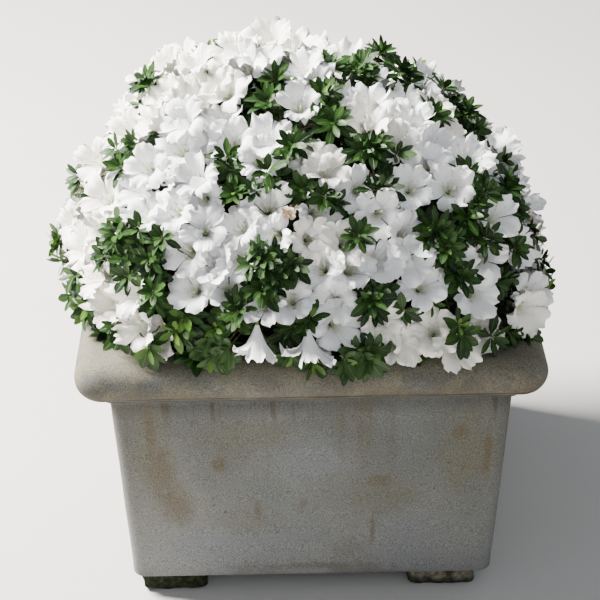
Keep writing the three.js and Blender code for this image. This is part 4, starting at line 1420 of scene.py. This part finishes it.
def square_ring(corner_steps, side_steps):
    """The ring that every level of the planter follows: corners of a square and outward directions.

    A point is place * (half width - corner) + outward * corner, with corner the radius of the round corner.
    """
    place, outward = [], []
    for quarter in range(4):
        angles = np.pi / 2 * (quarter + np.linspace(0, 1, corner_steps + 1))
        middle = np.pi / 2 * (quarter + 0.5)
        corner = np.sign([np.cos(middle), np.sin(middle)])
        after = np.sign([np.cos(middle + np.pi / 2), np.sin(middle + np.pi / 2)])
        place.append(np.tile(corner, (corner_steps + 1, 1)))
        outward.append(np.stack([np.cos(angles), np.sin(angles)], -1))
        share = np.linspace(0, 1, side_steps + 1)[1:-1, None]
        place.append(corner * (1 - share) + after * share)
        outward.append(np.tile(outward[-1][-1], (side_steps - 1, 1)))
    return np.concatenate(place), np.concatenate(outward)


def square_levels(halves, heights, corners, corner_steps=10, side_steps=22):
    """Rings of a square with round corners at these half widths, heights and corner radii."""
    place, outward = square_ring(corner_steps, side_steps)
    level = place * (halves - corners)[:, None, None] + outward * corners[:, None, None]
    return np.concatenate([level, np.broadcast_to(heights[:, None, None], (*level.shape[:2], 1))], -1)


def arc(half, height, radius, start, end, steps):
    """Points of a round edge in the planter's section, as half width and height."""
    angle = np.radians(np.linspace(start, end, steps + 1))
    return np.stack([half + radius * np.cos(angle), height + radius * np.sin(angle)], -1)


def straight(start, end, steps):
    """Points of a straight run in the section, without its ends."""
    share = np.linspace(0, 1, steps + 1)[1:-1, None]
    return np.array(start) * (1 - share) + np.array(end) * share


def wall_inside(height):
    """Half the width of the hollow at a height."""
    share = (height - INSIDE_FLOOR) / (RIM_TOP - MOUTH_EDGE - INSIDE_FLOOR)
    return BODY_BOTTOM_HALF - WALL + (BODY_TOP_HALF - BODY_BOTTOM_HALF) * share


def planter_shape():
    """The planter's section carried round a square with round corners.

    From the middle of the underside: a small round edge, the sloping body, a neck bead, the half-round rim,
    its flat top, the round mouth and the wall inside. Low waves make the cast faces a little uneven.
    """
    mouth = wall_inside(RIM_TOP - MOUTH_EDGE) + MOUTH_EDGE
    low_centre = (BODY_BOTTOM_HALF - BODY_EDGE, BODY_BOTTOM + BODY_EDGE)
    body_foot = (BODY_BOTTOM_HALF, BODY_BOTTOM + BODY_EDGE)
    body_top = (BODY_TOP_HALF, NECK_BOTTOM)
    roll_centre = (RIM_HALF - RIM_ROLL, RIM_BOTTOM + RIM_ROLL)
    section = np.concatenate([
        straight((0.06, BODY_BOTTOM), (low_centre[0], BODY_BOTTOM), 4),
        arc(*low_centre, BODY_EDGE, -90, 0, 5),
        straight(body_foot, body_top, 26),
        [body_top],
        arc(NECK_HALF - NECK_EDGE, NECK_BOTTOM + NECK_EDGE, NECK_EDGE, -90, 0, 4),
        straight((NECK_HALF, NECK_BOTTOM + NECK_EDGE), (NECK_HALF, RIM_BOTTOM), 3),
        [(NECK_HALF, RIM_BOTTOM - 0.0006)],
        arc(*roll_centre, RIM_ROLL, -90, 90, 26),
        straight((roll_centre[0], RIM_TOP), (mouth, RIM_TOP), 6),
        arc(mouth, RIM_TOP - MOUTH_EDGE, MOUTH_EDGE, 90, 180, 6),
        straight((mouth - MOUTH_EDGE, RIM_TOP - MOUTH_EDGE), (wall_inside(INSIDE_FLOOR), INSIDE_FLOOR), 8),
        [(wall_inside(INSIDE_FLOOR), INSIDE_FLOOR)],
    ])
    halves, heights = section.T
    corners = np.maximum(BODY_CORNER, RIM_CORNER - (RIM_HALF - halves))
    rings = square_levels(halves, heights, np.minimum(corners, halves * 0.9))
    relief = settings().cast_relief
    uneven = ripple_vector(rings, 0.16, 31, 2) * relief + ripple_vector(rings, 0.02, 41, 2) * relief * 0.25
    inside_rings = 9
    outer = np.arange(len(heights)) < len(heights) - inside_rings
    above_feet = ease(heights, BODY_BOTTOM + 0.002, BODY_BOTTOM + 0.02)
    weight = above_feet * np.where(outer, 1.0, ease(heights, SOIL_TOP - 0.08, SOIL_TOP))
    return closed_rings(rings + uneven * weight[:, None, None])


def foot_shape(name, seed):
    """A low square foot, worn at its edges, with a flat underside and top."""
    low, high = (np.array(corner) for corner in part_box(name))
    centre = (low + high) / 2
    half = (high[0] - low[0]) / 2
    tall = high[2] - low[2]
    angle = np.radians(np.linspace(-90, 90, 15))
    edge = 0.008
    halves = half - edge + edge * np.cos(angle)
    heights = np.where(angle < 0, edge + edge * np.sin(angle), tall - edge + edge * np.sin(angle))
    halves = np.concatenate([[half * 0.4, half * 0.7], halves, [half * 0.7, half * 0.4]])
    heights = np.concatenate([[0, 0], heights, [tall, tall]])
    rings = square_levels(halves, heights, np.minimum(0.01, halves * 0.5), 5, 12)
    rings[..., :2] += centre[:2]
    worn = ripple_vector(rings, 0.03, seed, 4) * 0.003
    flat = ease(heights, 0.003, 0.01) * ease(-heights, -tall + 0.001, -tall + 0.009)
    worn[..., 2] *= flat[:, None]
    return closed_rings(rings + worn)


def soil_shape():
    """Soil that fills the hollow, with a crumbly top that lies within a few millimetres of level."""
    inner = np.linspace(1, 0.04, 26)
    edge = wall_inside(SOIL_TOP) - 0.0005
    lower = INSIDE_FLOOR + CLEARANCE
    halves = np.concatenate([[0.05, wall_inside(lower) - 0.0005], edge * inner])
    heights = np.concatenate([[lower, lower], np.full(len(inner), SOIL_TOP)])
    rings = square_levels(halves, heights, np.minimum(BODY_CORNER, halves * 0.5), 6, 20)
    crumbs = ripple(rings, 0.035, 61, 4) * 0.004
    rings[2:, :, 2] += crumbs[2:] - 0.001
    return closed_rings(rings)


# Stem and boughs

def stem_shape():
    """The leaning stem: rings along its middle line, wider at the foot by (1 - t)^3.

    Root ridges, bark and a domed top are added to the radius.
    """
    steps, sides = 34, 44
    t = np.linspace(0, 1, steps)
    path = STEM_FOOT + (STEM_TOP - STEM_FOOT) * t[:, None]
    angle = 2 * np.pi * np.arange(sides) / sides
    radius = STEM_RADIUS + (STEM_FOOT_RADIUS - STEM_RADIUS) * (1 - t[:, None]) ** 3
    roots = 0.004 * (1 - t[:, None]) ** 2 * np.sin(4 * angle[None] + 0.8)
    outward = np.stack([np.cos(angle), np.sin(angle), 0 * angle], -1)
    spots = path[:, None] * np.array([1, 1, 0.35]) + outward * 0.02
    bark = 0.0011 * ripple(spots, 0.012, 71, 3)
    radius = np.minimum(radius + roots + bark, STEM_FOOT_RADIUS + 0.001)
    dome = np.sqrt(np.clip(1 - ease(t, 0.9, 1.0) ** 2 * 0.75, 0, 1))[:, None]
    rings = path[:, None] + outward * (radius * dome)[..., None]
    return closed_rings(rings)


def bough_shape():
    """The boughs: tapering limbs along the same curves as the solids, with knots and cracked bark."""
    steps, sides = 42, 18
    level = unit(MASS_AXES * np.array([1, 1, 0]))
    top = np.arange(len(MASSES)) < len(TOP_MASSES)
    root = STEM_TOP + level * BOUGH_ROOT
    root[:, 2] = STEM_TOP[2] - np.where(top, BOUGH_ROOT_RADIUS, 0.025)
    end = CROWN_CENTRE + MASS_AXES * (BOUGH_END + 0.001)
    middle = end - MASS_AXES * 0.5 * np.linalg.norm(root - end, axis=1, keepdims=True)
    t = np.linspace(0, 1, steps)[None, :, None]
    paths = root[:, None] * (1 - t) ** 2 + middle[:, None] * 2 * t * (1 - t) + end[:, None] * t**2
    taper = BOUGH_ROOT_RADIUS + (BOUGH_TIP_RADIUS - BOUGH_ROOT_RADIUS) * t
    angle = 2 * np.pi * np.arange(sides) / sides
    spots = np.stack(np.broadcast_arrays(np.cos(angle), np.sin(angle), 6 * t[..., 0][..., None]), -1)[0]
    bark = np.stack([ripple(spots, 1.4, 81 + i, 3) for i in range(len(MASSES))])
    return tubes(paths, taper + 0.0007 * bark, sides)


# Operators

class AZALEA_OT_planter(bpy.types.Operator):
    """Build the cast-concrete planter"""

    bl_idname = "azalea.planter"
    bl_label = "Planter"

    def execute(self, context):
        piece("planter_casting", planter_shape(), concrete_finish(), ["planter"])
        return {"FINISHED"}


class AZALEA_OT_feet(bpy.types.Operator):
    """Build the four mossy feet"""

    bl_idname = "azalea.feet"
    bl_label = "Feet"

    def execute(self, context):
        dark = mossy_finish("black_moss", BLACK_FOOT, MOSS_HIGH)
        worn = mossy_finish("worn_moss", WORN_FOOT, MOSS_LOW)
        feet = (
            ("foot_front_left", dark),
            ("foot_front_right", worn),
            ("foot_back_left", dark),
            ("foot_back_right", dark),
        )
        for seed, (node, finish) in enumerate(feet, 51):
            piece("mossy_" + node, foot_shape(node, seed), finish, [node])
        return {"FINISHED"}


class AZALEA_OT_soil(bpy.types.Operator):
    """Fill the planter with soil"""

    bl_idname = "azalea.soil"
    bl_label = "Soil"

    def execute(self, context):
        piece("soil_bed", soil_shape(), soil_finish(), ["soil"])
        return {"FINISHED"}


class AZALEA_OT_limbs(bpy.types.Operator):
    """Build the stem and the boughs with their bark"""

    bl_idname = "azalea.limbs"
    bl_label = "Stem and Boughs"

    def execute(self, context):
        piece("stem_bark", stem_shape(), bark_finish(), ["stem"])
        names = ["bough_" + name for name, *_ in MASSES]
        piece("bough_bark", bough_shape(), bark_finish(), names)
        return {"FINISHED"}


class AZALEA_OT_twigs(bpy.types.Operator):
    """Grow the twigs from the boughs to every head"""

    bl_idname = "azalea.twigs"
    bl_label = "Twigs"

    def execute(self, context):
        steps = 6
        controls, root, tip = shoots()
        paths = curve_points(controls, steps)
        radii = root[:, None] + (tip - root)[:, None] * np.linspace(0, 1, steps)
        names = ["foliage_" + name for name, *_ in MASSES]
        piece("twigs", tubes(paths, radii, 5), twig_finish(), names)
        return {"FINISHED"}


class AZALEA_OT_leaves(bpy.types.Operator):
    """Grow the leaves in rosettes, dealt out by age into three colours"""

    bl_idname = "azalea.leaves"
    bl_label = "Leaves"

    def execute(self, context):
        look = settings()
        layout, youth = leaf_layout()
        kinds = (
            ("old_leaves", look.dark_leaf_colour, 0.4, youth < GROWN_FROM),
            ("grown_leaves", look.middle_leaf_colour, 0.4, (youth >= GROWN_FROM) & (youth < FRESH_FROM)),
            ("fresh_leaves", look.fresh_leaf_colour, 0.38, youth >= FRESH_FROM),
        )
        for name, colour, roughness, chosen in kinds:
            shape = leaf_shape(*(column[chosen] for column in layout))
            piece(name, shape, leaf_finish(name, colour, roughness))
        return {"FINISHED"}


class AZALEA_OT_blooms(bpy.types.Operator):
    """Grow the blooms: petals, throats, stamens and stalks"""

    bl_idname = "azalea.blooms"
    bl_label = "Blooms"

    def execute(self, context):
        white = tuple(settings().petal_colour)
        # The cool copy of the petal colour is bluer, as painted shade. Blooms are dealt partly at random and
        # partly by side. Those to the left, which the key light strikes, keep the warm cream colour, and
        # those to the right, in shade, get the bluer copy.
        cool_and_shaded = toned(white, 0.985, 1.01, 1.1)
        towards = blooms()["d"]
        cream_and_lit = ripple(towards, 0.7, 91, 2) - 0.35 * towards[:, 0] > 0.05
        for name, tone, chosen in (("cream_and_lit_petals", white, cream_and_lit), ("cool_and_shaded_petals", cool_and_shaded, ~cream_and_lit)):
            piece(name, petal_shape(np.flatnonzero(chosen)), petal_finish(name, tone))
        stamens = stamen_paths()
        threads = tubes(stamens, np.broadcast_to(STAMEN_RADII, stamens.shape[:2]), 3)
        throat = ring_shape((0.06, 0.14, 0.22, 0.3), 0.92, 0.008)
        heart = ring_shape((0.3, 0.37, 0.44), 0.93, 0.009, 0.16)
        parts = (
            ("throats", throat, "green_throats", (0.84, 0.88, 0.66), 0.6),
            ("hearts", heart, "cream_hearts", (0.93, 0.935, 0.86), 0.6),
            ("stamens", threads, "pale_stamens", (0.86, 0.87, 0.78), 0.6),
            ("anthers", anther_shape(stamens), "brown_anthers", (0.5, 0.4, 0.27), 0.6),
            ("bloom_stalks", stalk_shape(), "green_stalks", (0.16, 0.24, 0.07), 0.5),
            ("withered_petals", withered_shape(), "withered", (0.68, 0.52, 0.36), 0.8),
        )
        for name, shape, finish, tone, roughness in parts:
            piece(name, shape, soft_finish(finish, tone, roughness))
        return {"FINISHED"}


# Stage

def camera_matrix():
    """The camera's place and turn: level axes turned by the yaw, tipped down by the pitch, then rolled."""
    level_right = np.array([np.cos(CAMERA_YAW), np.sin(CAMERA_YAW), 0.0])
    level_ahead = np.array([-np.sin(CAMERA_YAW), np.cos(CAMERA_YAW), 0.0])
    ahead = level_ahead * np.cos(CAMERA_PITCH) - UPWARD * np.sin(CAMERA_PITCH)
    upright = np.cross(level_right, ahead)
    right = level_right * np.cos(CAMERA_ROLL) + upright * np.sin(CAMERA_ROLL)
    upward = upright * np.cos(CAMERA_ROLL) - level_right * np.sin(CAMERA_ROLL)
    turn = Matrix(np.stack([right, upward, -ahead], 1).tolist()).to_4x4()
    return Matrix.Translation(CAMERA_PLACE) @ turn


def soft_light(name, place, width, power, colour):
    """A square light of this width that faces the crown."""
    lamp = bpy.data.lights.new(name, "AREA")
    lamp.shape = "SQUARE"
    lamp.size = width
    lamp.energy = power
    lamp.color = colour
    made = bpy.data.objects.new(name, lamp)
    made.location = place
    made.rotation_euler = (Vector(LIGHT_TARGET) - Vector(place)).to_track_quat("-Z", "Y").to_euler()
    bpy.context.collection.objects.link(made)


class AZALEA_OT_stage(bpy.types.Operator):
    """Set up the floor, the light and the camera"""

    bl_idname = "azalea.stage"
    bl_label = "Stage"

    def execute(self, context):
        corners = FLOOR_HALF * np.array([[-1, -1, 0], [1, -1, 0], [1, 1, 0], [-1, 1, 0]])
        mesh = bpy.data.meshes.new("floor")
        mesh.from_pydata(corners.tolist(), [], [(0, 1, 2, 3)])
        colour = tuple(settings().floor_colour)
        f = Finish("floor", colour, 0.8, 0.2)
        f.colour(f.mixed(f.span(f.noise(3, 3), 0.3, 0.7), shade(colour, 0.97), colour))
        mesh.materials.append(f.material)
        floor = bpy.data.objects.new("floor", mesh)
        context.collection.objects.link(floor)
        world = bpy.data.worlds.new("studio")
        world.use_nodes = True
        sky = world.node_tree.nodes["Background"]
        sky.inputs["Color"].default_value = SKY_COLOUR
        sky.inputs["Strength"].default_value = SKY_STRENGTH
        context.scene.world = world
        for light in LIGHTS:
            soft_light(*light)
        lens = bpy.data.cameras.new("camera")
        lens.sensor_width = SENSOR_MM
        lens.lens = FOCAL_PIXELS / IMAGE_PIXELS * SENSOR_MM
        camera = bpy.data.objects.new("camera", lens)
        camera.matrix_world = camera_matrix()
        context.collection.objects.link(camera)
        context.scene.camera = camera
        return {"FINISHED"}


class AZALEA_PT_panel(bpy.types.Panel):
    """Lists the sizes and the steps of the potted azalea"""

    bl_idname = "AZALEA_PT_panel"
    bl_label = "Potted Azalea"
    bl_space_type = "VIEW_3D"
    bl_region_type = "UI"
    bl_category = "Azalea"

    def draw(self, context):
        look = settings()
        column = self.layout.column()
        for name in look.bl_rna.properties.keys():
            if name not in ("rna_type", "name"):
                column.prop(look, name)
        for step in STEPS:
            column.operator(step.bl_idname)


STEPS = (
    AZALEA_OT_stage,
    AZALEA_OT_planter,
    AZALEA_OT_feet,
    AZALEA_OT_soil,
    AZALEA_OT_limbs,
    AZALEA_OT_twigs,
    AZALEA_OT_leaves,
    AZALEA_OT_blooms,
)
CLASSES = (AzaleaSettings, *STEPS, AZALEA_PT_panel)


def register():
    """Registers the settings, the steps and the panel."""
    for one in CLASSES:
        bpy.utils.register_class(one)
    bpy.types.Scene.azalea_settings = PointerProperty(type=AzaleaSettings)


def unregister():
    """Undoes register."""
    del bpy.types.Scene.azalea_settings
    for one in reversed(CLASSES):
        bpy.utils.unregister_class(one)


def main():
    """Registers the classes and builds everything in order."""
    register()
    bpy.ops.azalea.stage()
    bpy.ops.azalea.planter()
    bpy.ops.azalea.feet()
    bpy.ops.azalea.soil()
    bpy.ops.azalea.limbs()
    bpy.ops.azalea.twigs()
    bpy.ops.azalea.leaves()
    bpy.ops.azalea.blooms()
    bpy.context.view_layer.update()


if __name__ == "__main__":
    main()
